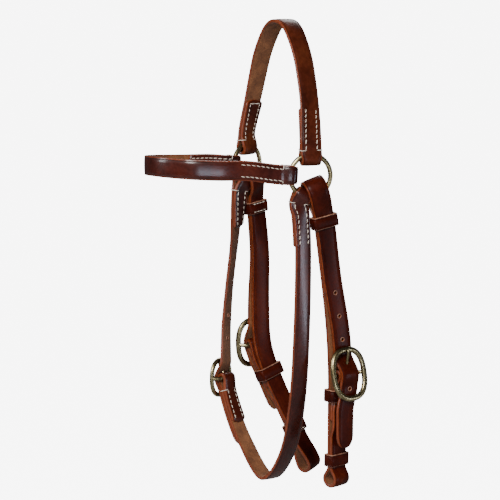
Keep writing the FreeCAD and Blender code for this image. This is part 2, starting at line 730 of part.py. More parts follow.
def cheek(side, stations, bar_s, shift_size, middle_keeper, bottom_keeper):
    """One cheekpiece: strap, stitching, buckle, prong and its three keepers.

    The middle keeper is that far below the bar and the bottom one that far above the bottom fold.
    """
    spine = Spine(stations)
    loop_s = spine.length  # middle of the bottom fold

    def shift(s):
        """The buckle's side of the strap stands a little behind the inner ply."""
        rise = min(max((s - bar_s + 110) / 90, 0.0), 1.0)
        fall = min(max((bar_s + 40 - s) / 30, 0.0), 1.0)
        return shift_size * ease(rise) * ease(fall)

    close = size("cheek_converge")
    leave_loop = loop_s - bottom_keeper + size("keeper_length") / 2 + 1
    keeper_low = bar_s + CHAPE_CLOSE
    radius = size("cheek_fold_radius") + HALF_PLY
    middle = -size("cheek_fold_drop")
    bar_shift = shift(bar_s)
    route = joined(
        run((bar_s + SEWN, LAY), (bar_s + CHAPE_CLOSE, LAY), 3, shift),
        run((bar_s + CHAPE_CLOSE, LAY), (bar_s, BAR_OUT - BAR_FOLD), 3, shift),
        turn(bar_s, BAR_OUT, BAR_FOLD, 270, 90, shift=bar_shift),
        run((bar_s, BAR_OUT + BAR_FOLD), (bar_s + CHAPE_CLOSE, CHAPE_OUT), 4, shift),
        run((bar_s + CHAPE_CLOSE, CHAPE_OUT), (bar_s + SEWN + 2, CHAPE_OUT), 3, shift),
        run((bar_s + SEWN + 2, CHAPE_OUT), (bar_s + SEWN + 16, LAY), 4, shift),
        run((bar_s + SEWN + 16, LAY), (leave_loop, LAY), 3, shift),
        run((leave_loop, LAY), (loop_s, LOOP_FOLD), 5),
        turn(loop_s, 0, LOOP_FOLD, 90, -90, steps=16),
        run((loop_s, -LOOP_FOLD), (leave_loop, -LAY), 5),
        run((leave_loop, -LAY), (close, -LAY), 20),
        run((close, -LAY), (middle, -radius), 6),
        turn(middle, 0, radius, 270, 90, steps=12),
        run((middle, radius), (close, LAY), 6),
        run((close, LAY), (bar_s - 21.5, LAY), 12, shift),
        run((bar_s - 21.5, LAY), (bar_s, OVER_BAR), 8, shift),
        run((bar_s, OVER_BAR), (keeper_low, TAIL_OUT), 4, shift),
        run((keeper_low, TAIL_OUT), (bar_s + TAIL_LENGTH, TAIL_OUT), 5, shift),
    )
    seat = BuckleSeat(spine, bar_s, BAR_OUT, "buckle", bar_shift, -1)
    shape = strap_solid(spine, route, lambda s: WIDE).cut(seat.slot()).cut(seat.hole())
    _, _, loop_axis, _ = spine.frame(loop_s)
    loop_half = loop_axis * (WIDE / 2 + 1)
    loop_middle = spine.place(loop_s, 0)
    bore = rod(loop_middle - loop_half, loop_middle + loop_half, size("bit_loop_radius"))
    shape = shape.cut(bore)
    for i in (1, 2, 3):
        s = bar_s - 11 - i * size("hole_pitch")
        shape = shape.cut(punched(spine, s, LAY, shift(s), PLY / 2 + 0.15))
    s = bar_s - 11 + size("hole_pitch")
    shape = shape.cut(punched(spine, s, TAIL_OUT, shift(s), PLY / 2 + 0.15))
    feature(f"cheek_{side}_strap", shape)
    feature(
        f"cheek_{side}_stitching",
        thread_rows(
            spine,
            bar_s + CHAPE_CLOSE,
            bar_s + THREAD_END,
            size("ply_gap") / 2,
            CHAPE_OUT + HALF_PLY + PROUD,
            WIDE,
            shift,
            bar_s + 10.5,
        ),
    )
    buckle_frame(f"cheek_{side}_buckle_frame", "buckle", 12.8, seat.frame_placement())
    prong(f"cheek_{side}_prong", seat.prong_length, seat.prong_placement())
    under_tail = bar_s + middle_keeper
    inner_face = -LAY - HALF_PLY
    outer_face = LAY + HALF_PLY
    keeper(f"keeper_{side}_top", spine, TOP_KEEPER, inner_face, outer_face, WIDE, slack=1.2)
    keeper(
        f"keeper_{side}_middle",
        spine,
        under_tail,
        inner_face,
        CHAPE_OUT + HALF_PLY,
        WIDE + abs(shift(under_tail)),
        shift(under_tail) / 2,
        slack=2.4,
    )
    keeper(f"keeper_{side}_bottom", spine, loop_s - bottom_keeper, inner_face, outer_face, WIDE)
    return spine, seat


TOP_KEEPER = 28.0  # middle of a top keeper, below the ring's wire
NEAR_KEEPERS, FAR_KEEPERS = (21.5, 20.0), (33.0, 41.5)  # below the bar, above the bottom fold

near_cheek_stations = leave(NEAR, CHEEK_AT, -1, SHORT_LEAD) + [
    (at(72, 13.3, -197), leg_width(-2)),
    (at(71.5, 18.6, -230), leg_width(2)),
    (at(72.5, 27.6, -303), leg_width(4)),
    (at(72.5, 31, -357), leg_width(6)),
    (at(72.5, 30.5, -410), leg_width(12)),
    (at(72, 30, -469.7), leg_width(18)),
]
far_cheek_stations = leave(FAR, CHEEK_AT, 1) + [
    (at(-73, 17, -246), -leg_width(6)),
    (at(-69, 15.2, -308), -leg_width(4)),
    (at(-65, 15.5, -348), -leg_width(5)),
    (at(-59.5, 23.5, -381), -leg_width(8)),
    (at(-46, 44.5, -438), -leg_width(16)),
    (at(-36, 58.5, -480.5), -leg_width(24)),
]
NEAR_CHEEK, NEAR_SEAT = cheek("near", near_cheek_stations, 189.0, -5.0, *NEAR_KEEPERS)
FAR_CHEEK, FAR_SEAT = cheek("far", far_cheek_stations, 177.0, -3.0, *FAR_KEEPERS)

# --- check and write ------------------------------------------------------------------------------

doc.recompute()
for obj in doc.Objects:
    if "Invalid" in obj.State or "Error" in obj.State:
        raise RuntimeError(f"{obj.Label} failed: {obj.State}")

NODES = """crown_strap crown_stitching ring_near ring_far browband_strap browband_stitching
throatlash_strap throatlash_billet throatlash_stitching throatlash_buckle_frame throatlash_prong
cheek_near_strap cheek_near_stitching cheek_near_buckle_frame cheek_near_prong
keeper_near_top keeper_near_middle keeper_near_bottom
cheek_far_strap cheek_far_stitching cheek_far_buckle_frame cheek_far_prong
keeper_far_top keeper_far_middle keeper_far_bottom""".split()

for name in NODES:
    part = doc.getObjectsByLabel(name)[0]
    if part.Shape.isNull() or not part.Shape.isValid():
        raise RuntimeError(f"{name} has no valid shape")
    part.Shape.exportStep(f"parts/{name}.step")
    box = part.Shape.BoundBox
    print(f"{name}: {part.Shape.Volume:.0f} mm3, {len(part.Shape.Solids)} solids, {box}")
print("crown", CROWN.length, "brow", BROW.length, "throat", THROAT.length)
print("cheeks", NEAR_CHEEK.length, FAR_CHEEK.length)
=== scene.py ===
"""Looks of the bitless headstall: bridle leather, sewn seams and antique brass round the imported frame.

Lengths are in millimetres in the design's own frame and become metres when a mesh is made.  +Z is up,
-Y is the front of the head and +X its near side.  Straps follow the runs of the CAD solids that
they replace, with some ends a little longer and folds that close up sooner.
"""

import math

import bmesh
import bpy
from mathutils import Matrix, Vector


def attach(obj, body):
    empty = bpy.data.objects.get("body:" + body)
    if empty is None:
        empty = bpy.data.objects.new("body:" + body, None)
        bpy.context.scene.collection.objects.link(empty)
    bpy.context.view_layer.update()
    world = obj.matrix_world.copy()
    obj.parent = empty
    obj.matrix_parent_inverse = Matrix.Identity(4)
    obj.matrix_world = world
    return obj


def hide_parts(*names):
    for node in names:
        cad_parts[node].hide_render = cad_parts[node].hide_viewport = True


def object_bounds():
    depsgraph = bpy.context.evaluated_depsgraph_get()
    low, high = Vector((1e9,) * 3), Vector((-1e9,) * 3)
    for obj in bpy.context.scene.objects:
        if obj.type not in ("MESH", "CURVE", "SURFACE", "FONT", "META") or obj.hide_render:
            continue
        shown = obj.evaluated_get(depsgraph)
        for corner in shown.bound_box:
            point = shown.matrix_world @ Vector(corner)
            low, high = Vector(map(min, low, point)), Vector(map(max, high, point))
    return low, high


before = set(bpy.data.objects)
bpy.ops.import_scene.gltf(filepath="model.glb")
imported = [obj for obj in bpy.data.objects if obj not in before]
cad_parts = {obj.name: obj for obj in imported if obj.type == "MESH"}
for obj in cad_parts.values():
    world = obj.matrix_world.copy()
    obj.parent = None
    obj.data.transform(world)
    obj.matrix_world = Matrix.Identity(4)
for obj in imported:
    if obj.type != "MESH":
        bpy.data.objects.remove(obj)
cad_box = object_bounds()

MM = 0.001

# --- driving sizes ---------------------------------------------------------------------------------

WIDE, BROW_WIDE, NARROW = 22.0, 20.0, 19.0  # widths of the straps
PLY = 3.5
PLY_GAP = 0.2
HALF_PLY = PLY / 2
LAY = HALF_PLY + PLY_GAP / 2
PITCH = 2 * LAY
RING_RADIUS, RING_WIRE = 21.5, 2.5
RING_DROP, RING_SPREAD, CROWN_LEAN = 153.0, 70.0, 5.0
FOLD_CLEARANCE, FOLD_DROP, FOLD_WAIST = 0.7, 1.2, 0.69
CROWN_DROP, CROWN_WAIST = 4.5, 0.92
CHEEK_FOLD_RADIUS, CHEEK_FOLD_DROP, CHEEK_CLOSE = 8.8, 6.5, 22.0
SEWN, BAR_CLOSE = 50.0, 15.0
BROW_SEWN, THROAT_SEWN = 57.0, 55.0  # longer turned-back plies
BROW_WAIST = 0.86
FOLD_CLOSE = 11.0  # from a ring's wire to where the plies of its fold meet
WAIST_FROM, WAIST_TO = 0.5, 4.8
LONG_LEAD, SHORT_LEAD = 14.0, 9.0
HOLE_PITCH, HOLE_RADIUS = 25.0, 2.0
CREASE_INSET, DOME = 1.9, 0.22
UP = Vector((0, 0, 1))

# --- materials ------------------------------------------------------------------------------------


class Shader:
    """A material's node tree, with short calls for the nodes used here."""

    def __init__(self, name):
        self.material = bpy.data.materials.new(name)
        self.material.use_nodes = True
        self.tree = self.material.node_tree
        self.bsdf = self.tree.nodes["Principled BSDF"]
        self.place = self.node("ShaderNodeTexCoord").outputs["Object"]

    def node(self, kind, **settings):
        node = self.tree.nodes.new(kind)
        for key, value in settings.items():
            setattr(node, key, value)
        return node

    def link(self, source, target):
        self.tree.links.new(source, target)

    def noise(self, scale, detail=3.0, stretch=None, roughness=0.55, distortion=0.0):
        node = self.node("ShaderNodeTexNoise")
        node.inputs["Scale"].default_value = scale
        node.inputs["Detail"].default_value = detail
        node.inputs["Roughness"].default_value = roughness
        node.inputs["Distortion"].default_value = distortion
        source = self.place
        if stretch is not None:
            mapping = self.node("ShaderNodeMapping")
            mapping.inputs["Scale"].default_value = stretch
            self.link(source, mapping.inputs["Vector"])
            source = mapping.outputs["Vector"]
        self.link(source, node.inputs["Vector"])
        return node.outputs["Fac"]

    def ramp(self, source, stops):
        node = self.node("ShaderNodeValToRGB")
        ramp = node.color_ramp
        while len(ramp.elements) < len(stops):
            ramp.elements.new(0.5)
        for element, (place, colour) in zip(ramp.elements, stops):
            element.position = place
            element.color = (*colour, 1.0) if len(colour) == 3 else colour
        self.link(source, node.inputs["Fac"])
        return node.outputs["Color"]

    def grey(self, source, low, high, start=0.0, end=1.0):
        """Map a value from start..end to low..high."""
        node = self.node("ShaderNodeMapRange")
        node.inputs["From Min"].default_value = start
        node.inputs["From Max"].default_value = end
        node.inputs["To Min"].default_value = low
        node.inputs["To Max"].default_value = high
        self.link(source, node.inputs["Value"])
        return node.outputs["Result"]

    def mix(self, factor, a, b, blend="MIX"):
        node = self.node("ShaderNodeMix", data_type="RGBA", blend_type=blend)
        if isinstance(factor, (int, float)):
            node.inputs["Factor"].default_value = factor
        else:
            self.link(factor, node.inputs["Factor"])
        for value, socket in ((a, node.inputs[6]), (b, node.inputs[7])):
            if isinstance(value, tuple):
                socket.default_value = (*value, 1.0)
            else:
                self.link(value, socket)
        return node.outputs[2]

    def attribute(self, name):
        return self.node("ShaderNodeAttribute", attribute_name=name).outputs["Fac"]

    def math(self, operation, a, b):
        node = self.node("ShaderNodeMath", operation=operation)
        for value, socket in zip((a, b), node.inputs):
            if isinstance(value, (int, float)):
                socket.default_value = value
            else:
                self.link(value, socket)
        return node.outputs["Value"]

    def bump(self, *layers):
        """Stack bumps: each layer is (height, strength, distance in metres)."""
        normal = None
        for height, strength, distance in layers:
            node = self.node("ShaderNodeBump")
            node.inputs["Strength"].default_value = strength
            node.inputs["Distance"].default_value = distance
            self.link(height, node.inputs["Height"])
            if normal is not None:
                self.link(normal, node.inputs["Normal"])
            normal = node.outputs["Normal"]
        self.link(normal, self.bsdf.inputs["Normal"])

    def set(self, **values):
        for key, value in values.items():
            socket = self.bsdf.inputs[key.replace("_", " ")]
            if isinstance(value, (int, float)):
                socket.default_value = value
            elif isinstance(value, tuple):
                socket.default_value = (*value, 1.0)
            else:
                self.link(value, socket)


DEEP = (0.020, 0.0022, 0.0009)
MAHOGANY = (0.062, 0.0072, 0.0024)
RUSSET = (0.120, 0.019, 0.005)
EDGE = (0.25, 0.047, 0.012)
TAN = (0.33, 0.130, 0.048)
PALE_RIM = (0.50, 0.24, 0.15)


def tinted(colour, tint):
    return tuple(c * k for c, k in zip(colour, tint))


def grain_leather(name, tint, gloss):
    """Smooth waxed face, redder towards the bevelled rims, with painted shade darkening the crease line
    beside them.
    """
    shader = Shader(name)
    cloud = shader.noise(26, 4, stretch=(1, 1, 0.45))
    mottle = shader.noise(210, 5, roughness=0.65)
    stops = (0.30, DEEP), (0.52, MAHOGANY), (0.78, RUSSET)
    body = shader.ramp(cloud, [(place, tinted(colour, tint)) for place, colour in stops])
    fleck = shader.ramp(mottle, [(0.30, (0.62, 0.58, 0.56)), (0.72, (1.18, 1.12, 1.08))])
    colour = shader.mix(1.0, body, fleck, "MULTIPLY")
    rim = shader.attribute("rim")
    # Painted shade: the colour is mixed towards near-black along the crease line beside each rim.
    from_crease = shader.math("ABSOLUTE", shader.math("SUBTRACT", rim, CREASE_INSET), 0.0)
    crease = shader.grey(from_crease, 0.7, 0.0, 0.0, 0.6)
    colour = shader.mix(crease, colour, (0.016, 0.003, 0.002))
    wear = shader.grey(shader.noise(120, 3), 0.35, 1.0, 0.35, 0.7)
    burnish = shader.math("MULTIPLY", shader.grey(rim, 0.85, 0.0, 0.5, 1.5), wear)
    colour = shader.mix(burnish, colour, EDGE)
    shader.set(Base_Color=colour, Roughness=shader.grey(mottle, 0.34, 0.52, 0.3, 0.75))
    shader.set(Coat_Weight=0.6 * gloss, Coat_Roughness=0.20, Specular_IOR_Level=0.06 + 0.12 * gloss)
    pores = shader.noise(1500, 2)
    shader.bump((cloud, 0.25, 0.0012), (mottle, 0.22, 0.0006), (pores, 0.16, 0.00022))
    return shader.material


def edge_leather(name, bright):
    """Dyed and burnished cut edge, orange-red with dark streaks along the fibres."""
    shader = Shader(name)
    streak = shader.noise(260, 4, stretch=(1, 1, 0.25), roughness=0.7)
    middle = tuple(c * 0.55 for c in bright)
    colour = shader.ramp(streak, [(0.22, (0.075, 0.012, 0.004)), (0.5, middle), (0.8, bright)])
    shader.set(Base_Color=colour, Roughness=shader.grey(streak, 0.30, 0.52))
    shader.set(Coat_Weight=0.2, Coat_Roughness=0.25, Specular_IOR_Level=0.4)
    shader.bump((streak, 0.35, 0.0003), (shader.noise(1600, 2), 0.2, 0.00015))
    return shader.material


def flesh_leather():
    """Rough tan flesh side with loose fibres."""
    shader = Shader("bridle_leather_flesh")
    patch = shader.noise(55, 4, roughness=0.7)
    fibre = shader.noise(620, 5, roughness=0.8, distortion=0.6)
    body = shader.ramp(patch, [(0.3, (0.105, 0.036, 0.013)), (0.55, (0.200, 0.075, 0.028)), (0.8, TAN)])
    stops = (0.25, (0.45, 0.42, 0.40)), (0.55, (1.0, 1.0, 1.0)), (0.8, (1.5, 1.45, 1.4))
    speck = shader.ramp(fibre, stops)
    colour = shader.mix(1.0, body, speck, "MULTIPLY")
    shader.set(Base_Color=colour, Roughness=0.88, Specular_IOR_Level=0.2)
    shader.set(Sheen_Weight=0.1, Sheen_Roughness=0.5)
    shader.bump((fibre, 0.6, 0.0007), (shader.noise(1900, 2), 0.4, 0.0003))
    return shader.material


def linen_thread():
    shader = Shader("waxed_linen_thread")
    ply = shader.noise(1400, 3, roughness=0.7)
    stops = (0.3, (0.42, 0.33, 0.24)), (0.6, (0.80, 0.72, 0.60)), (0.85, (0.92, 0.87, 0.78))
    colour = shader.ramp(ply, stops)
    shader.set(Base_Color=colour, Roughness=0.62, Sheen_Weight=0.3)
    shader.bump((ply, 0.6, 0.0003))
    return shader.material


def antique_brass(name, shade=1.0):
    """Cast brass with a brown-green patina that thins where it is handled."""
    shader = Shader(name)
    patina = shader.noise(95, 5, roughness=0.65)
    cast = shader.noise(420, 4)
    dull = tuple(c * shade for c in (0.105, 0.078, 0.036))
    olive = tuple(c * shade for c in (0.30, 0.245, 0.125))
    bright = tuple(c * shade for c in (0.62, 0.52, 0.29))
    colour = shader.ramp(patina, [(0.28, dull), (0.5, olive), (0.74, bright)])
    shader.set(Base_Color=colour, Metallic=1.0, Roughness=shader.grey(patina, 0.42, 0.20, 0.3, 0.7))
    shader.bump((cast, 0.22, 0.0005), (patina, 0.15, 0.001))
    return shader.material


GLOSSY_GRAIN = grain_leather("bridle_leather_glossy", (0.80, 0.80, 0.85), 0.85)
SATIN_GRAIN = grain_leather("bridle_leather_satin", (0.85, 0.85, 0.85), 0.07)
CROWN_GRAIN = grain_leather("crown_leather_satin", (1.15, 2.0, 2.6), 0.10)
FLESH = flesh_leather()
CUT_EDGE = edge_leather("bridle_leather_edge", EDGE)
KEEPER_EDGE = edge_leather("keeper_leather_edge", PALE_RIM)
THREAD = linen_thread()
RING_BRASS, BUCKLE_BRASS = antique_brass("antique_brass_ring"), antique_brass("antique_brass_buckle", 0.8)

# --- where things are -----------------------------------------------------------------------------


def at(x, y, z):
    """A point written from the line through the ring centres (y) and the poll (z)."""
    return Vector((x, y - CROWN_LEAN, z))


class RingPlace:
    """One ring: its centre and its rearward direction; side is +1 or -1."""

    def __init__(self, side, twist, forward):
        angle = math.radians(twist)
        self.centre = at(side * RING_SPREAD, -forward, -RING_DROP)
        self.rear = Vector((side * math.sin(angle), math.cos(angle), 0))

    def radial(self, degrees):
        """Unit direction from the centre; 0 is to the rear, 90 is up and 180 is to the front."""
        angle = math.radians(degrees)
        return self.rear * math.cos(angle) + UP * math.sin(angle)

    def wire(self, degrees):
        return self.centre + self.radial(degrees) * RING_RADIUS


NEAR, FAR = RingPlace(1, 11.0, 1.5), RingPlace(-1, 22.0, 0)
CROWN_AT, BROW_AT, THROAT_AT, CHEEK_AT = 90, 176, 246, 290


def leave(ring, degrees, sign, lead=LONG_LEAD):
    """The first two stations of a run that leaves a ring; sign sets the width direction."""
    across = ring.radial(degrees + 90) * sign
    wire = ring.wire(degrees)
    return [(wire, across), (wire + ring.radial(degrees) * lead, across)]


def arrive(ring, degrees, sign, lead=LONG_LEAD):
    return list(reversed(leave(ring, degrees, sign, lead)))


class Spine:
    """The run of a strap: a smooth curve through a few points, with the strap's width direction."""

    STEPS = 12

    def __init__(self, stations):
        points = [Vector(p) for p, _ in stations]
        widths = [Vector(w) for _, w in stations]
        knots = [0.0]
        for a, b in zip(points, points[1:]):
            knots.append(knots[-1] + (b - a).length)
        self.points = self._curve(knots, points)
        self.widths = self._curve(knots, widths)
        self.along = [0.0]
        for a, b in zip(self.points, self.points[1:]):
            self.along.append(self.along[-1] + (b - a).length)
        self.length = self.along[-1]

    def _curve(self, knots, values):
        """Cubic Hermite curve with slopes from the neighbouring values."""
        last = len(values) - 1
        slopes = []
        for i in range(last + 1):
            a, b = max(i - 1, 0), min(i + 1, last)
            slopes.append((values[b] - values[a]) / (knots[b] - knots[a]))
        curve = []
        for i in range(last):
            span = knots[i + 1] - knots[i]
            for j in range(self.STEPS):
                k = j / self.STEPS
                start = values[i] * (2 * k**3 - 3 * k**2 + 1) + slopes[i] * span * (k**3 - 2 * k**2 + k)
                end = values[i + 1] * (3 * k**2 - 2 * k**3) + slopes[i + 1] * span * (k**3 - k**2)
                curve.append(start + end)
        return curve + [Vector(values[last])]

    def _direction(self, i):
        i = min(max(i, 0), len(self.points) - 2)
        return (self.points[i + 1] - self.points[i]).normalized()

    def frame(self, s):
        """Point, direction along, direction across and outward normal at a length from the start."""
        i = 0
        while i < len(self.along) - 2 and self.along[i + 1] < s:
            i += 1
        k = (s - self.along[i]) / (self.along[i + 1] - self.along[i])
        k_inside = min(max(k, 0.0), 1.0)
        point = self.points[i] + (self.points[i + 1] - self.points[i]) * k
        before = (self._direction(i - 1) + self._direction(i)).normalized()
        after = (self._direction(i) + self._direction(i + 1)).normalized()
        along = (before * (1 - k_inside) + after * k_inside).normalized()
        width = self.widths[i] * (1 - k_inside) + self.widths[i + 1] * k_inside
        across = (width - along * width.dot(along)).normalized()
        return point, along, across, across.cross(along)

    def place(self, s, out, across=0.0):
        """The point at a length s, out from the run and across it."""
        point, _, width, normal = self.frame(s)
        return point + normal * out + width * across


# --- strap routes: (s, out, across) with the direction of travel in the (s, out) plane -------------

SPACING = 1.4  # between sections of a strap
ARC_STEP = 8.0  # degrees between sections round a fold


def sampled(curve, steps):
    """Stations of a curve(k) -> (s, out, across), k from 0 to 1, with its direction at each."""
    stations = []
    nudge = 1e-4
    for i in range(steps + 1):
        k = i / steps
        a, b = curve(max(k - nudge, 0.0)), curve(min(k + nudge, 1.0))
        along, out = b[0] - a[0], b[1] - a[1]
        length = math.hypot(along, out)
        stations.append((curve(k), (along / length, out / length)))
    return stations


def ease(k):
    return (1 - math.cos(math.pi * k)) / 2


def clamped(value):
    return min(max(value, 0.0), 1.0)


def run(start, end, shift=None):
    """A stretch from (s, out) to (s, out) that leaves and arrives level; shift(s) moves it across."""
    (s0, out0), (s1, out1) = start, end

    def curve(k):
        s = s0 + (s1 - s0) * k
        return s, out0 + (out1 - out0) * ease(k), shift(s) if shift else 0.0

    return sampled(curve, max(3, math.ceil(abs(s1 - s0) / SPACING)))


def turn(s, out, radius, start, end, shift=0.0):
    """An arc about (s, out); angles in degrees, 0 towards +s and 90 outwards."""

    def curve(k):
        angle = math.radians(start + (end - start) * k)
        return s + radius * math.cos(angle), out + radius * math.sin(angle), shift

    return sampled(curve, math.ceil(abs(end - start) / ARC_STEP))


def joined(*pieces):
    """Pieces of route end to end, without the doubled stations."""
    route = list(pieces[0])
    for piece in pieces[1:]:
        same = math.dist(route[-1][0][:2], piece[0][0][:2]) < 1e-3
        route += piece[1:] if same else piece
    return route


def reverse(route):
    return [(place, (-d[0], -d[1])) for place, d in reversed(route)]


def ring_fold(wire_s, away, drop=FOLD_DROP, sewn=SEWN):
    """From the end of the turned-back ply, round the ring's wire, to the outer ply."""
    radius = RING_WIRE + FOLD_CLEARANCE + HALF_PLY
    middle = wire_s - away * drop
    close = wire_s + away * FOLD_CLOSE
    back = run((wire_s + away * sewn, -LAY), (close, -LAY))
    opening = run((close, -LAY), (middle, -radius))
    arc = turn(middle, 0, radius, 270, 90) if away > 0 else turn(middle, 0, radius, -90, 90)
    closing = run((middle, radius), (close, LAY))
    return joined(back, opening, arc, closing)


def waisted(width, ends, waist=FOLD_WAIST):
    """Width of a strap: full, and narrower in each fold's bottom; ends are (wire_s, away)."""

    def width_at(s):
        least = width
        for wire_s, away in ends:
            k = clamped((-(s - wire_s) * away - WAIST_FROM) / (WAIST_TO - WAIST_FROM))
            least = min(least, width * (1 - (1 - waist) * k))
        return least

    return width_at


# --- strap meshes ---------------------------------------------------------------------------------

FACE_OF = {"grain": 0, "edge": 1, "flesh": 2}


def strap_profile(width, grain=1):
    """Closed section of a strap, (across, depth, rim, kind); rims are rounded and a crease runs beside."""
    half = width / 2
    inset = CREASE_INSET
    right = [
        (half - 0.9, -HALF_PLY, "flesh"),
        (half - 0.25, -HALF_PLY + 0.22, "edge"),
        (half, -HALF_PLY + 0.85, "edge"),
        (half, HALF_PLY - 1.15, "edge"),
        (half - 0.28, HALF_PLY - 0.45, "edge"),
        (half - 0.95, HALF_PLY - 0.10, "grain"),
        (half - inset + 0.5, HALF_PLY - 0.04, "grain"),
        (half - inset, HALF_PLY - 0.34, "grain"),
        (half - inset - 0.5, HALF_PLY - 0.02, "grain"),
        (half * 0.5, HALF_PLY + 0.55 * DOME, "grain"),
        (half * 0.2, HALF_PLY + DOME, "grain"),
    ]
    left = [(-a, d, kind) for a, d, kind in reversed(right)]
    points = right + left + [(-half * 0.4, -HALF_PLY, "flesh"), (half * 0.4, -HALF_PLY, "flesh")]
    # A segment takes the kind of the surface that it belongs to, on either side of the section.
    kinds = ["edge"] * 4 + ["grain"] * 13 + ["edge"] * 4 + ["flesh"] * 3
    return [(a, d * grain, half - abs(a), kind) for (a, d, _), kind in zip(points, kinds)]


def end_factor(distance, length):
    """Share of the full width at a distance from a rounded end."""
    if distance >= length:
        return 1.0
    return max(1 - (1 - distance / length) ** 2, 0.0) ** 0.5 * 0.86 + 0.14


def face_outwards(bm):
    """Give every shell of a mesh outward normals."""
    bmesh.ops.recalc_face_normals(bm, faces=bm.faces)
    if bm.calc_volume(signed=True) < 0:
        bmesh.ops.reverse_faces(bm, faces=bm.faces)


def build(name, bm, materials, body, smooth_angle=32.0):
    """Turn a bmesh in millimetres into a scene object that rides on a body."""
    face_outwards(bm)
    bmesh.ops.scale(bm, vec=(MM, MM, MM), verts=bm.verts)
    mesh = bpy.data.meshes.new(name)
    bm.to_mesh(mesh)
    bm.free()
    for material in materials:
        mesh.materials.append(material)
    piece = bpy.data.objects.new(name, mesh)
    bpy.context.scene.collection.objects.link(piece)
    mesh.shade_smooth()
    mesh.set_sharp_from_angle(angle=math.radians(smooth_angle))
    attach(piece, body)
    return piece


SKIVE_LENGTH, SKIVE = 4.0, 0.6  # the sewn end of a ply is thinned by this share, from its grain side


def strap_bmesh(spine, route, width_at, grain=1, round_end=4.0, sewn_end=True):
    """Sweep the strap's section along its route, thinned at its sewn ends."""
    bm = bmesh.new()
    rim_layer = bm.verts.layers.float.new("rim")
    full = max(width_at(s) for (s, *_), _ in route)
    profile = strap_profile(full, grain)
    lengths = [0.0]
    centres = [spine.place(*place) for place, _ in route]
    for a, b in zip(centres, centres[1:]):
        lengths.append(lengths[-1] + (b - a).length)
    total = lengths[-1]
    rows = []
    for i, ((s, out, shift), (along, rise)) in enumerate(route):
        factor = min(end_factor(lengths[i], 4.0), end_factor(total - lengths[i], round_end))
        to_sewn = min(lengths[i], total - lengths[i]) if sewn_end else lengths[i]
        thin = 1 - SKIVE * clamped(1 - to_sewn / SKIVE_LENGTH)
        row = []
        narrow = width_at(s) / full * factor
        for across, full_depth, rim, _ in profile:
            depth = (full_depth + grain * HALF_PLY) * thin - grain * HALF_PLY
            vert = bm.verts.new(spine.place(s - rise * depth, out + along * depth, shift + across * narrow))
            vert[rim_layer] = rim
            row.append(vert)
        rows.append(row)
    kinds = [kind for *_, kind in profile]
    count = len(kinds)
    for a, b in zip(rows, rows[1:]):
        for j in range(count):
            k = (j + 1) % count
            face = bm.faces.new((a[j], a[k], b[k], b[j]))
            face.material_index = FACE_OF[kinds[j]]
    for row in (rows[0], rows[-1]):
        face = bm.faces.new(row)
        face.material_index = FACE_OF["edge"]
    return bm


def cut(piece, cutter_bm):
    """Cut a piece with a bmesh in millimetres and drop the cutter."""
    bmesh.ops.scale(cutter_bm, vec=(MM, MM, MM), verts=cutter_bm.verts)
    mesh = bpy.data.meshes.new("cutter")
    cutter_bm.to_mesh(mesh)
    cutter_bm.free()
    cutter = bpy.data.objects.new("cutter", mesh)
    bpy.context.scene.collection.objects.link(cutter)
    modifier = piece.modifiers.new("cut", "BOOLEAN")
    modifier.operation = "DIFFERENCE"
    modifier.solver = "EXACT"
    modifier.object = cutter
    graph = bpy.context.evaluated_depsgraph_get()
    result = bpy.data.meshes.new_from_object(piece.evaluated_get(graph))
    piece.modifiers.remove(modifier)
    old = piece.data
    piece.data = result
    bpy.data.meshes.remove(old)
    bpy.data.objects.remove(cutter)


def add_rod(bm, start, end, radius, sides=20):
    """A closed cylinder between two points."""
    axis = end - start
    turn_to = axis.to_track_quat("Z", "Y").to_matrix().to_4x4()
    matrix = Matrix.Translation((start + end) / 2) @ turn_to
    bmesh.ops.create_cone(
        bm,
        cap_ends=True,
        segments=sides,
        radius1=radius,
        radius2=radius,
        depth=axis.length,
        matrix=matrix,
    )


def add_tube(bm, points, radii, sides=8, flatten=1.0, flat_axis=None):
    """A tube through points with a radius at each, closed with rounded ends."""
    rings = []
    for i, (point, radius) in enumerate(zip(points, radii)):
        along = (points[min(i + 1, len(points) - 1)] - points[max(i - 1, 0)]).normalized()
        side = flat_axis if flat_axis is not None else (UP if abs(along.z) < 0.9 else Vector((1, 0, 0)))
        x_axis = (side - along * side.dot(along)).normalized()
        y_axis = along.cross(x_axis)
        ring = []
        for j in range(sides):
            angle = 2 * math.pi * j / sides
            offset = x_axis * math.cos(angle) * radius * flatten + y_axis * math.sin(angle) * radius
            ring.append(bm.verts.new(point + offset))
        rings.append(ring)
    faces = []
    for a, b in zip(rings, rings[1:]):
        for j in range(sides):
            k = (j + 1) % sides
            faces.append(bm.faces.new((a[j], a[k], b[k], b[j])))
    faces.append(bm.faces.new(rings[0]))
    faces.append(bm.faces.new(rings[-1]))
    return faces


# --- sewing ---------------------------------------------------------------------------------------

STITCH_PITCH, STITCH_LENGTH, STITCH_RADIUS = 5.2, 3.8, 0.46
STITCH_SLANT = 0.7  # across the row, end to end


def add_stitch(bm, spine, start, end, face, sign, lift=0.42):
    """One stitch between (s, across) points on a face, dipping into the leather at its ends."""
    points, radii = [], []
    for i in range(7):
        k = i / 6
        s = start[0] + (end[0] - start[0]) * k
        across = start[1] + (end[1] - start[1]) * k
        rise = lift * math.sin(math.pi * k) - 0.2
        points.append(spine.place(s, sign * (face(s) + rise), across))
        radii.append(STITCH_RADIUS * (0.62 + 0.38 * math.sin(math.pi * k)))
    add_tube(bm, points, radii)


def fold_face(wire_s, away, drop):
    """The outer face of the plies of a ring fold: the distance out at a length s."""
    radius = RING_WIRE + FOLD_CLEARANCE + HALF_PLY

    def face(s):
        k = clamped(((s - wire_s) * away + drop) / (FOLD_CLOSE + drop))
        return radius + (LAY - radius) * ease(k) + HALF_PLY

    return face


def level_face(out):
    return lambda s: out


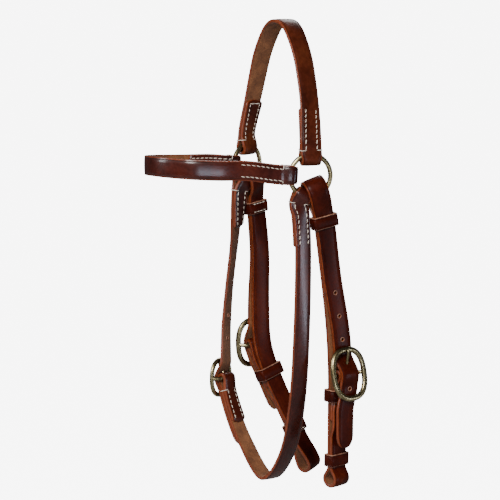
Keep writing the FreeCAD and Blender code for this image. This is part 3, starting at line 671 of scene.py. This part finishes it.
def add_seam(bm, spine, s0, s1, face, signs, width, inset, shift=None, end_row=False, lift=0.42):
    """Two rows of stitches from s0, beside the fold, to s1, on each face that signs names."""
    length = s1 - s0
    count = max(2, round(abs(length) / STITCH_PITCH))
    step = length / count
    half_stitch = STITCH_LENGTH / 2 * (1 if length > 0 else -1)
    for sign in signs:
        slant = STITCH_SLANT / 2 if sign > 0 else -STITCH_SLANT / 6
        for side in (-1, 1):
            row = side * (width / 2 - inset)
            for i in range(count):
                middle = s0 + (i + 0.5) * step
                move = row + (shift(middle) if shift else 0.0)
                ends = (middle - half_stitch, move - slant), (middle + half_stitch, move + slant)
                add_stitch(bm, spine, *ends, face, sign, lift)
        if end_row:
            move = shift(s1) if shift else 0.0
            inner = width / 2 - inset
            for a in (-inner, inner * 0.08):
                add_stitch(bm, spine, (s1, move + a), (s1, move + a + inner * 0.92), face, sign)


def add_lock(bm, spine, s, face, width, inset):
    """The stitches that lock a seam's rows beside the fold, each over one rim of the strap."""
    high = face(s)
    for side in (-1, 1):
        rim, row = side * (width / 2 + 0.12), side * (width / 2 - inset)
        over = [(high - 0.1, row), (high + 0.25, (row + rim) / 2), (high - 0.15, rim)]
        path = over + [(0, rim + side * 0.15)] + [(-out, across) for out, across in reversed(over)]
        points = [spine.place(s, out, across) for out, across in path]
        add_tube(bm, points, [STITCH_RADIUS * 0.85] * len(points))


def sewing(name, body, node):
    """A bmesh for one sewing piece, with the call that finishes it."""
    bm = bmesh.new()

    def finish():
        piece = build(name, bm, [THREAD], body, 60)
        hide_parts(node)

    return bm, finish


BOTH = (-1, 1)


def sew_fold(bm, spine, wire_s, away, drop, reach, width, inset, end_row=False):
    """The seam of a ring fold, from its locking stitches to reach, seen on both faces."""
    face = fold_face(wire_s, away, drop)
    start, end = (wire_s + away * k for k in reach)
    add_seam(bm, spine, start, end, face, BOTH, width, inset, end_row=end_row)
    add_lock(bm, spine, start, face, width, inset)


def strap(name, spine, route, width_at, body, node, face, **options):
    bm = strap_bmesh(spine, route, width_at, **options)
    piece = build(name, bm, [face, CUT_EDGE, FLESH], body)
    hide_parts(node)
    return piece


# --- crown strap ----------------------------------------------------------------------------------


def rear_width(turned):
    """Width direction, to the rear, of a crown leg turned by some degrees."""
    angle = math.radians(turned)
    return Vector((-math.sin(angle), math.cos(angle), 0))


def crown_y(height):
    """The legs lean forwards from the poll to the rings."""
    return CROWN_LEAN * (1 - (height / RING_DROP) ** 2)


# Each half of the crown's arch, from a ring to the poll: across, down and turned.
NEAR_ARCH = [(57, -82, 4), (49.5, -57, 5), (40, -33.5, 4), (24.5, -11.5, 2), (13, -2.6, 1)]
FAR_ARCH = [(60.5, -82, 12), (51.5, -57, 7), (41.5, -33.5, 3), (25.5, -12, 1), (13, -2.6, 0)]


def make_crown():
    stations = leave(NEAR, CROWN_AT, -1)
    for x, z, turned in NEAR_ARCH:
        stations.append((at(x, crown_y(z), z - LAY + HALF_PLY), rear_width(turned)))
    stations.append((at(0, CROWN_LEAN, -LAY + HALF_PLY), rear_width(0)))
    for x, z, turned in reversed(FAR_ARCH):
        stations.append((at(-x, crown_y(z), z - LAY + HALF_PLY), rear_width(turned)))
    spine = Spine(stations + arrive(FAR, CROWN_AT, -1))
    end = spine.length
    route = joined(
        ring_fold(0, 1, CROWN_DROP),
        run((FOLD_CLOSE, LAY), (end - FOLD_CLOSE, LAY)),
        reverse(ring_fold(end, -1, CROWN_DROP)),
    )
    width_at = waisted(WIDE, [(0, 1), (end, -1)], CROWN_WAIST)
    strap("crown_leather", spine, route, width_at, "headpiece", "crown_strap", CROWN_GRAIN)
    bm, finish = sewing("crown_thread", "headpiece", "crown_stitching")
    sew_fold(bm, spine, 0, 1, CROWN_DROP, (5.0, 46.5), WIDE, 5.2)
    sew_fold(bm, spine, end, -1, CROWN_DROP, (5.0, 46.5), WIDE, 4.6, end_row=True)
    finish()


# --- browband -------------------------------------------------------------------------------------

# From the near ring round the front to the far ring: across, forward and above the ring centres.
BROW_BOW = [
    (59, -68, 7.2),
    (52, -99, 8.2),
    (38, -127, 9.8),
    (6, -144, 10.7),
    (-38, -132, 8),
    (-57, -109, 6),
    (-62, -76, 4.5),
    (-61, -50, 4),
]


def make_browband():
    stations = leave(NEAR, BROW_AT, -1)
    for x, y, lift in BROW_BOW:
        stations.append((at(x, y, lift - RING_DROP), UP))
    spine = Spine(stations + arrive(FAR, BROW_AT, -1))
    end = spine.length
    route = joined(
        ring_fold(0, 1, sewn=BROW_SEWN),
        run((FOLD_CLOSE, LAY), (end - FOLD_CLOSE, LAY)),
        reverse(ring_fold(end, -1, sewn=BROW_SEWN)),
    )
    width_at = waisted(BROW_WIDE, [(0, 1), (end, -1)], BROW_WAIST)
    strap("browband_leather", spine, route, width_at, "browband", "browband_strap", GLOSSY_GRAIN)
    bm, finish = sewing("browband_thread", "browband", "browband_stitching")
    sew_fold(bm, spine, 0, 1, FOLD_DROP, (8.5, 54.0), BROW_WIDE, 4.1)
    sew_fold(bm, spine, end, -1, FOLD_DROP, (8.5, 54.0), BROW_WIDE, 4.1)
    finish()


# --- buckles --------------------------------------------------------------------------------------

BAR_RADIUS, BAR_GAP = 2.2, 0.2
BAR_FOLD = BAR_RADIUS + BAR_GAP + HALF_PLY
SLOT_REACH = BAR_FOLD + HALF_PLY + 0.12
EYE_SLOT = 4.4
PRONG_RADIUS, PRONG_EYE, PRONG_PLAY, PRONG_REST = 1.5, 1.3, 0.8, 0.35

CHEEK_BUCKLE = {"half": 25.25, "wide": 19.2, "wire": 2.75, "setback": 6.6, "tilt": 12.7}
THROAT_BUCKLE = {"half": 19.0, "wide": 16.4, "wire": 2.4, "setback": 7.2, "tilt": 12.0}
FRAME_SQUARENESS = 2.5  # exponent of the frame's oval; 2 is an ellipse
WIRE_WIDTH, WIRE_DEPTH = 1.14, 0.98  # of the cast frame's section, as shares of the wire radius


class BuckleSeat:
    """A buckle on a spine: its bar, the frame's lean and the prong's line."""

    def __init__(self, spine, s, bar_out, buckle, across, toward_tip):
        _, along, self.side, normal = spine.frame(s)
        up = along * toward_tip
        self.bar = spine.place(s, bar_out, across)
        lean = math.radians(buckle["tilt"])
        self.buckle = buckle
        frame_up = up * math.cos(lean) - normal * math.sin(lean)
        frame_normal = normal * math.cos(lean) + up * math.sin(lean)
        self.centre = self.bar + frame_normal * buckle["setback"]
        self.frame_up = frame_up
        reach = math.hypot(buckle["half"], buckle["setback"])
        clear = buckle["wire"] + PRONG_RADIUS + PRONG_REST
        angle = math.atan2(buckle["setback"], buckle["half"]) + math.asin(clear / reach)
        self.prong_line = frame_up * math.cos(angle) + frame_normal * math.sin(angle)
        self.prong_rise = frame_normal
        self.prong_length = reach + 0.6 * buckle["wire"]

    def cut_hole(self, piece):
        bm = bmesh.new()
        start = self.bar + self.prong_line * (SLOT_REACH - 1.5)
        add_rod(bm, start, start + self.prong_line * 18, PRONG_RADIUS + PRONG_PLAY)
        cut(piece, bm)

    def cut_slot(self, piece):
        bm = bmesh.new()
        half = self.side * (EYE_SLOT / 2)
        add_rod(bm, self.bar - half, self.bar + half, SLOT_REACH, 48)
        cut(piece, bm)

    def make_frame(self, name, body, node, bar_length):
        """A cast frame, squarer than an oval, and its bar on two slanted ends."""
        bm = bmesh.new()
        up, rise, side = self.frame_up, self.prong_rise, self.side
        sides, steps = 14, 72
        rings = []
        for i in range(steps):
            angle = 2 * math.pi * i / steps
            c, s = math.cos(angle), math.sin(angle)
            power = 2 / FRAME_SQUARENESS
            x = math.copysign(abs(c) ** power, c) * self.buckle["wide"]
            y = math.copysign(abs(s) ** power, s) * self.buckle["half"]
            outward = (side * (x / self.buckle["wide"] ** 2) + up * (y / self.buckle["half"] ** 2))
            outward.normalize()
            ring = []
            for j in range(sides):
                turned = 2 * math.pi * j / sides
                across = outward * math.cos(turned) * WIRE_WIDTH + rise * math.sin(turned) * WIRE_DEPTH
                ring.append(bm.verts.new(self.centre + side * x + up * y + across * self.buckle["wire"]))
            rings.append(ring)
        for a, b in zip(rings, rings[1:] + rings[:1]):
            for j in range(sides):
                k = (j + 1) % sides
                bm.faces.new((a[j], a[k], b[k], b[j]))
        ends = [side * (k * self.buckle["wide"]) for k in (-1, 1)]
        corners = [side * (k * bar_length) for k in (-1, 1)]
        path = [self.centre + ends[0], self.bar + corners[0], self.bar + corners[1], self.centre + ends[1]]
        points = [path[0], path[0].lerp(path[1], 0.75), path[1].lerp(path[2], 0.06)]
        points += [path[1].lerp(path[2], 0.94), path[3].lerp(path[2], 0.75), path[3]]
        add_tube(bm, points, [BAR_RADIUS] * len(points), 14, 1.0, up)
        piece = build(name, bm, [BUCKLE_BRASS], body, 60)
        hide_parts(node)

    def make_prong(self, name, body, node):
        """A forged tongue: an eye closed round the bar, a flattened shank and a tip over the frame."""
        bm = bmesh.new()
        eye_radius = BAR_RADIUS + PRONG_EYE + 0.4
        line, rise = self.prong_line, self.prong_rise
        points, radii = [], []
        for i in range(25):
            angle = math.radians(195 - 360 * i / 24 * 0.92)
            points.append(self.bar + (line * math.cos(angle) + rise * math.sin(angle)) * eye_radius)
            radii.append(PRONG_EYE)
        add_tube(bm, points, radii, 12, flat_axis=self.side)
        points, radii = [], []
        steps = 26
        for i in range(steps + 1):
            k = i / steps
            along = eye_radius - 0.6 + (self.prong_length + 0.4 - eye_radius) * k
            bow = 0.30 * math.sin(math.pi * k) - 0.55 * max(k - 0.86, 0.0) / 0.14
            points.append(self.bar + line * along + rise * bow)
            taper = 1.0 - 0.22 * k
            tip = math.sqrt(max(1 - max((k - 0.93) / 0.07, 0.0) ** 2, 0.03))
            radii.append(PRONG_RADIUS * 0.97 * taper * tip)
        add_tube(bm, points, radii, 14, 1.12, self.side)
        piece = build(name, bm, [BUCKLE_BRASS], body, 50)
        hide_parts(node)


PUNCH_RIM = 0.4


def punch(piece, rims, spine, s, out, across, reach, face):
    """A round hole through a ply, with the raised raw rim that the punch leaves on its face."""
    _, along, width, normal = spine.frame(s)
    middle = spine.place(s, out, across)
    bm = bmesh.new()
    add_rod(bm, middle - normal * reach, middle + normal * reach, HOLE_RADIUS, 24)
    cut(piece, bm)
    centre = middle + normal * (face * (HALF_PLY + DOME - 0.05))
    radius, steps = HOLE_RADIUS + 0.15, 24
    rings = []
    for i in range(steps):
        angle = 2 * math.pi * i / steps
        outward = along * math.cos(angle) + width * math.sin(angle)
        ring = []
        for j in range(8):
            turned = 2 * math.pi * j / 8
            offset = outward * math.cos(turned) + normal * math.sin(turned)
            ring.append(rims.verts.new(centre + outward * radius + offset * PUNCH_RIM))
        rings.append(ring)
    for a, b in zip(rings, rings[1:] + rings[:1]):
        for j in range(8):
            rims.faces.new((a[j], a[(j + 1) % 8], b[(j + 1) % 8], b[j]))


# --- throatlash -----------------------------------------------------------------------------------


def leg_width(turned):
    """Width direction, to the front, of a leg turned by some degrees like the far ring."""
    angle = math.radians(turned)
    return Vector((math.sin(angle), -math.cos(angle), 0))


THROAT_RUN = [
    (68, -11.6, -192, 3),
    (69, -10, -228, 7),
    (64, -8.5, -312, 3),
    (51, -6, -388, 0),
    (28, -5, -448, 2),
    (-2, -11, -480, 6),
    (-35, -19, -449, 14),
    (-58, -25, -408, 22),
    (-68, -28, -372, 30),
    (-73.5, -22, -330, 36),
    (-75, -17, -285, 42),
    (-72.5, -12, -235, 40),
]
BAR_FROM_FAR_RING = 214.0
BILLET_TAIL = 74.0


def make_throatlash():
    stations = leave(NEAR, THROAT_AT, -1, SHORT_LEAD)
    for x, y, z, turned in THROAT_RUN:
        stations.append((at(x, y, z), leg_width(turned)))
    spine = Spine(stations + arrive(FAR, THROAT_AT, -1, SHORT_LEAD))
    end = spine.length
    bar = end - BAR_FROM_FAR_RING
    bar_end = bar - BAR_CLOSE
    seat = BuckleSeat(spine, bar, 0, THROAT_BUCKLE, 0, 1)
    route = joined(
        ring_fold(0, 1, sewn=THROAT_SEWN),
        run((FOLD_CLOSE, LAY), (bar_end, LAY)),
        run((bar_end, LAY), (bar, BAR_FOLD)),
        turn(bar, 0, BAR_FOLD, 90, -90),
        run((bar, -BAR_FOLD), (bar_end, -LAY)),
        run((bar_end, -LAY), (bar - SEWN, -LAY)),
    )
    width_at = waisted(NARROW, [(0, 1)])
    node = "throatlash_strap"
    piece = strap("throatlash_leather", spine, route, width_at, "throatlash", node, GLOSSY_GRAIN)
    seat.cut_slot(piece)
    over_bar = BAR_FOLD + PITCH + 0.3
    route = joined(
        ring_fold(end, -1),
        run((end - FOLD_CLOSE, LAY), (bar + 60, LAY)),
        run((bar + 60, LAY), (bar + 18, -1.2)),
        run((bar + 18, -1.2), (bar, over_bar)),
        run((bar, over_bar), (bar - 14, LAY + PITCH)),
        run((bar - 14, LAY + PITCH), (bar - BILLET_TAIL, LAY + PITCH)),
    )
    width_at = waisted(NARROW, [(end, -1)])
    billet = strap(
        "throatlash_billet_leather",
        spine,
        route,
        width_at,
        "throatlash",
        "throatlash_billet",
        GLOSSY_GRAIN,
        grain=-1,
        round_end=11.0,
        sewn_end=False,
    )
    seat.cut_hole(billet)
    rims = bmesh.new()
    for i in (1, 2):
        s = bar + 18 + i * HOLE_PITCH
        k = clamped((bar + 60 - s) / 42)
        punch(billet, rims, spine, s, LAY - (LAY + 1.2) * ease(k), 0, PLY, -1)
        punch(billet, rims, spine, bar + 10 - i * HOLE_PITCH, LAY + PITCH, 0, PLY, 1)
    piece = build("throatlash_hole_rims", rims, [KEEPER_EDGE], "throatlash", 60)
    bm, finish = sewing("throatlash_thread", "throatlash", "throatlash_stitching")
    sew_fold(bm, spine, 0, 1, FOLD_DROP, (8.5, 51.5), NARROW, 4.4)
    sew_fold(bm, spine, end, -1, FOLD_DROP, (8.5, 46.5), NARROW, 4.0)
    seam = bar - BAR_CLOSE + 2, bar - SEWN + 3.5
    add_seam(bm, spine, *seam, level_face(LAY + HALF_PLY), (-1,), NARROW, 4.0)
    add_lock(bm, spine, seam[0], level_face(LAY + HALF_PLY), NARROW, 4.0)
    finish()
    seat.make_prong("throatlash_tongue_brass", "throatlash_tongue", "throatlash_prong")
    seat.make_frame("throatlash_buckle_brass", "throatlash", "throatlash_buckle_frame", NARROW / 2 + 2)


# --- cheekpieces ----------------------------------------------------------------------------------

CHAPE_OUT = LAY + PITCH
BAR_OUT = BAR_FOLD + LAY + 0.1
OVER_BAR = BAR_OUT + BAR_FOLD + PITCH + 0.1
KEEPER_LENGTH, KEEPER_WALL, KEEPER_GAP = 13.0, 1.8, 0.7
TAIL_OUT = CHAPE_OUT + HALF_PLY + KEEPER_GAP + KEEPER_WALL + 0.3 + HALF_PLY
BIT_LOOP_RADIUS = 5.8
LOOP_FOLD = BIT_LOOP_RADIUS + HALF_PLY
TAIL_LENGTH, CHAPE_CLOSE, TOP_KEEPER = 76.0, 13.0, 28.0

CHEEKS = {
    "near": {
        "ring": NEAR,
        "sign": -1,
        "lead": SHORT_LEAD,
        "run": [
            (72, 13.3, -197, -2),
            (71.5, 18.6, -230, 2),
            (72.5, 27.6, -303, 4),
            (72.5, 31, -357, 6),
            (72.5, 30.5, -410, 12),
            (72, 30, -469.7, 18),
        ],
        "bar": 189.0,
        "shift": -5.0,
        "keepers": (21.5, 20.0),
    },
    "far": {
        "ring": FAR,
        "sign": 1,
        "lead": LONG_LEAD,
        "run": [
            (-73, 17, -246, 6),
            (-69, 15.2, -308, 4),
            (-65, 15.5, -348, 5),
            (-59.5, 23.5, -381, 8),
            (-46, 44.5, -438, 16),
            (-36, 58.5, -480.5, 24),
        ],
        "bar": 177.0,
        "shift": -3.0,
        "keepers": (33.0, 41.5),
    },
}


def rounded_box(width, height, radius, steps=4):
    """Points round a rectangle with rounded corners, with each point's outward direction."""
    points = []
    for corner, (sx, sy) in enumerate(((1, 1), (-1, 1), (-1, -1), (1, -1))):
        cx, cy = sx * (width / 2 - radius), sy * (height / 2 - radius)
        for i in range(steps + 1):
            angle = math.radians(90 * corner + 90 * i / steps)
            points.append((cx + radius * math.cos(angle), cy + radius * math.sin(angle)))
    dense = []
    for a, b in zip(points, points[1:] + points[:1]):
        gaps = max(1, math.ceil(math.dist(a, b) / 2.5))
        for i in range(gaps):
            k = i / gaps
            dense.append((a[0] + (b[0] - a[0]) * k, a[1] + (b[1] - a[1]) * k))
    return dense


def make_keeper(side, place, spine, s, low, high, width, across, slack, lap_side=-1):
    """A band round the plies, thin leather with burnished rims, lapped and sewn on the inside."""
    bm = bmesh.new()
    rim_layer = bm.verts.layers.float.new("rim")
    _, along, width_axis, normal = spine.frame(s)
    middle = spine.place(s, (low + high) / 2, across)
    inside = (width + 2 * KEEPER_GAP + slack, high - low + 2 * KEEPER_GAP)
    outside = (inside[0] + 2 * KEEPER_WALL, inside[1] + 2 * KEEPER_WALL)
    outer_loop = rounded_box(*outside, 2.2)
    inner_loop = [(x * inside[0] / outside[0], y * inside[1] / outside[1]) for x, y in outer_loop]
    half = KEEPER_LENGTH / 2
    # Through the band's wall: outer face with creases, rounded rims, inner face.
    section = [
        (-half + 0.7, 0.0, "grain"),
        (-half + 1.7, 0.0, "grain"),
        (-half + 2.1, 0.14, "grain"),
        (-half + 2.5, 0.0, "grain"),
        (0.0, 0.0, "grain"),
        (half - 2.5, 0.0, "grain"),
        (half - 2.1, 0.14, "grain"),
        (half - 1.7, 0.0, "grain"),
        (half - 0.7, 0.0, "edge"),
        (half, 0.35, "edge"),
        (half, 0.8, "edge"),
        (half - 0.3, 1.0, "flesh"),
        (-half + 0.3, 1.0, "edge"),
        (-half, 0.8, "edge"),
        (-half, 0.35, "edge"),
    ]
    rows = []
    for (ox, oy), (ix, iy) in zip(outer_loop, inner_loop):
        row = []
        for length, depth, _ in section:
            x, y = ox + (ix - ox) * depth, oy + (iy - oy) * depth
            vert = bm.verts.new(middle + width_axis * x + normal * y + along * length)
            vert[rim_layer] = half - abs(length) + 0.7
            row.append(vert)
        rows.append(row)
    count = len(section)
    for a, b in zip(rows, rows[1:] + rows[:1]):
        for j in range(count):
            k = (j + 1) % count
            face = bm.faces.new((a[j], b[j], b[k], a[k]))
            face.material_index = FACE_OF[section[j][2]]
    body = f"{side}_{place}_keeper"
    piece = build(f"keeper_{side}_{place}_leather", bm, [SATIN_GRAIN, KEEPER_EDGE, FLESH], body, 40)
    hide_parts(f"keeper_{side}_{place}")
    bm = bmesh.new()
    surface = level_face(lap_side * (low + high) / 2 + outside[1] / 2)
    for row in (-1, 1):
        for i in range(-2, 2):
            a = (i + 0.12) * 4.6 + across
            add_stitch(bm, spine, (s + row * 4.3, a), (s + row * 4.3, a + 3.5), surface, lap_side, 0.34)
    lap = build(f"keeper_{side}_{place}_thread", bm, [THREAD], body, 60)


def make_cheek(side, cheek):
    stations = leave(cheek["ring"], CHEEK_AT, cheek["sign"], cheek["lead"])
    for x, y, z, turned in cheek["run"]:
        stations.append((at(x, y, z), leg_width(turned) * -cheek["sign"]))
    spine = Spine(stations)
    loop = spine.length
    bar = cheek["bar"]
    middle_keeper, bottom_keeper = cheek["keepers"]

    def shift(s):
        """The buckle's side of the strap stands a little behind the inner ply."""
        rise = clamped((s - bar + 110) / 90)
        fall = clamped((bar + 40 - s) / 30)
        return cheek["shift"] * ease(rise) * ease(fall)

    leave_loop = loop - bottom_keeper + KEEPER_LENGTH / 2 + 1
    keeper_low = bar + CHAPE_CLOSE
    radius = CHEEK_FOLD_RADIUS + HALF_PLY
    middle = -CHEEK_FOLD_DROP
    bar_shift = shift(bar)
    route = joined(
        run((bar + SEWN, LAY), (bar + CHAPE_CLOSE, LAY), shift),
        run((bar + CHAPE_CLOSE, LAY), (bar, BAR_OUT - BAR_FOLD), shift),
        turn(bar, BAR_OUT, BAR_FOLD, 270, 90, bar_shift),
        run((bar, BAR_OUT + BAR_FOLD), (bar + CHAPE_CLOSE, CHAPE_OUT), shift),
        run((bar + CHAPE_CLOSE, CHAPE_OUT), (bar + SEWN + 2, CHAPE_OUT), shift),
        run((bar + SEWN + 2, CHAPE_OUT), (bar + SEWN + 16, LAY), shift),
        run((bar + SEWN + 16, LAY), (leave_loop, LAY), shift),
        run((leave_loop, LAY), (loop, LOOP_FOLD)),
        turn(loop, 0, LOOP_FOLD, 90, -90),
        run((loop, -LOOP_FOLD), (leave_loop, -LAY)),
        run((leave_loop, -LAY), (CHEEK_CLOSE, -LAY)),
        run((CHEEK_CLOSE, -LAY), (middle, -radius)),
        turn(middle, 0, radius, 270, 90),
        run((middle, radius), (CHEEK_CLOSE, LAY)),
        run((CHEEK_CLOSE, LAY), (bar - 21.5, LAY), shift),
        run((bar - 21.5, LAY), (bar, OVER_BAR), shift),
        run((bar, OVER_BAR), (keeper_low, TAIL_OUT), shift),
        run((keeper_low, TAIL_OUT), (bar + TAIL_LENGTH, TAIL_OUT), shift),
    )
    body = f"{side}_cheekpiece"
    piece = strap(
        f"cheek_{side}_leather",
        spine,
        route,
        lambda s: WIDE,
        body,
        f"cheek_{side}_strap",
        SATIN_GRAIN,
        round_end=13.0,
        sewn_end=False,
    )
    seat = BuckleSeat(spine, bar, BAR_OUT, CHEEK_BUCKLE, bar_shift, -1)
    seat.cut_slot(piece)
    seat.cut_hole(piece)
    rims = bmesh.new()
    for i in (1, 2, 3):
        s = bar - 11 - i * HOLE_PITCH
        punch(piece, rims, spine, s, LAY, shift(s), HALF_PLY + DOME + 0.1, 1)
    s = bar - 11 + HOLE_PITCH
    punch(piece, rims, spine, s, TAIL_OUT, shift(s), HALF_PLY + DOME + 0.1, 1)
    piece = build(f"cheek_{side}_hole_rims", rims, [KEEPER_EDGE], body, 60)
    bm, finish = sewing(f"cheek_{side}_thread", body, f"cheek_{side}_stitching")
    surface = CHAPE_OUT + HALF_PLY
    seam = bar + CHAPE_CLOSE, bar + SEWN - 3
    add_seam(bm, spine, *seam, level_face(surface), (1,), WIDE, 4.1, shift, lift=0.1)
    finish()
    seat.make_prong(f"cheek_{side}_tongue_brass", f"{side}_cheek_tongue", f"cheek_{side}_prong")
    seat.make_frame(f"cheek_{side}_buckle_brass", body, f"cheek_{side}_buckle_frame", WIDE / 2 + 2)
    under_tail = bar + middle_keeper
    faces = -LAY - HALF_PLY, LAY + HALF_PLY
    make_keeper(side, "top", spine, TOP_KEEPER, *faces, WIDE, 0.0, 1.2)
    make_keeper(
        side,
        "middle",
        spine,
        under_tail,
        faces[0],
        CHAPE_OUT + HALF_PLY,
        WIDE + abs(shift(under_tail)),
        shift(under_tail) / 2,
        2.4,
        cheek["sign"],
    )
    make_keeper(side, "bottom", spine, loop - bottom_keeper, *faces, WIDE, 0.0, 0.0)


make_crown()
make_browband()
make_throatlash()
for side_name, cheek_facts in CHEEKS.items():
    make_cheek(side_name, cheek_facts)

# --- fittings kept from the frame -----------------------------------------------------------------

for node in ("ring_near", "ring_far"):
    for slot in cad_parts[node].material_slots:
        slot.material = RING_BRASS

# --- light and camera -----------------------------------------------------------------------------


def add_light(name, place, target, size, power, colour=(1.0, 1.0, 1.0)):
    light = bpy.data.lights.new(name, "AREA")
    light.shape = "RECTANGLE"
    light.size, light.size_y = size
    light.energy = power
    light.color = colour
    lamp = bpy.data.objects.new(name, light)
    lamp.location = place
    lamp.rotation_euler = (Vector(target) - Vector(place)).to_track_quat("-Z", "Y").to_euler()
    bpy.context.scene.collection.objects.link(lamp)


AMBIENT, BACKDROP = 0.05, 7.5  # strength of the white surround for lighting and as seen
FLOOR_DROP = 0.45  # the headstall hangs this far above the floor


def seen_or_lit(tree, lit, seen):
    """A value that is one thing in lighting and another where the camera sees it directly."""
    path = tree.nodes.new("ShaderNodeLightPath")
    value = tree.nodes.new("ShaderNodeMapRange")
    value.inputs["To Min"].default_value = lit
    value.inputs["To Max"].default_value = seen
    tree.links.new(path.outputs["Is Camera Ray"], value.inputs["Value"])
    return value.outputs["Result"]


def make_world():
    world = bpy.data.worlds.new("studio")
    world.use_nodes = True
    bpy.context.scene.world = world
    tree = world.node_tree
    background = tree.nodes["Background"]
    background.inputs["Color"].default_value = (1.0, 1.0, 1.0, 1.0)
    tree.links.new(seen_or_lit(tree, AMBIENT, BACKDROP), background.inputs["Strength"])


def make_floor():
    """A plain pale floor, bright enough to be white behind the headstall."""
    reach, height = 8000.0, cad_box[0][2] / MM - FLOOR_DROP / MM
    bm = bmesh.new()
    corners = [(-reach, -reach), (reach, -reach), (reach, reach), (-reach, reach)]
    bm.faces.new([bm.verts.new((x, y, height)) for x, y in corners])
    bmesh.ops.scale(bm, vec=(MM, MM, MM), verts=bm.verts)
    mesh = bpy.data.meshes.new("floor")
    bm.to_mesh(mesh)
    bm.free()
    shader = Shader("pale_floor")
    tone = shader.ramp(shader.noise(3, 2), [(0.3, (0.30, 0.30, 0.30)), (0.7, (0.34, 0.34, 0.34))])
    shader.set(Base_Color=tone, Roughness=0.85, Specular_IOR_Level=0.1)
    shader.set(Emission_Color=(1.0, 1.0, 1.0))
    shader.link(seen_or_lit(shader.tree, 0.02, BACKDROP), shader.bsdf.inputs["Emission Strength"])
    mesh.materials.append(shader.material)
    floor = bpy.data.objects.new("floor", mesh)
    bpy.context.scene.collection.objects.link(floor)


def make_camera():
    """Three-quarter view from the near front, a little above the rings."""
    azimuth, elevation, distance = math.radians(62.0), math.radians(8.0), 2.0
    target = Vector((-0.0138, -0.0310, -0.2375))
    away = Vector(
        (
            math.sin(azimuth) * math.cos(elevation),
            -math.cos(azimuth) * math.cos(elevation),
            math.sin(elevation),
        )
    )
    data = bpy.data.cameras.new("camera")
    data.lens = 137.1
    data.sensor_width = 36.0
    camera = bpy.data.objects.new("camera", data)
    camera.location = target + away * distance
    camera.rotation_euler = (-away).to_track_quat("-Z", "Y").to_euler()
    bpy.context.scene.collection.objects.link(camera)
    bpy.context.scene.camera = camera


make_floor()
add_light("key", (1.5, -1.5, 1.1), (0, 0, -0.2), (0.9, 0.9), 88, (1.0, 0.98, 0.96))
add_light("front", (-0.5, -1.9, 0.5), (0, 0, -0.2), (0.5, 1.2), 26, (0.95, 0.97, 1.0))
add_light("near_strip", (1.37, 1.12, -0.62), (0.05, 0, -0.3), (0.09, 0.7), 5.5, (0.76, 0.84, 1.0))
add_light("low_front", (1.98, -0.62, -0.42), (0, -0.05, -0.2), (0.80, 0.14), 8, (0.76, 0.84, 1.0))
add_light("rear", (-1.2, 1.0, 1.0), (0, 0, -0.2), (0.7, 0.7), 14)
make_world()
make_camera()
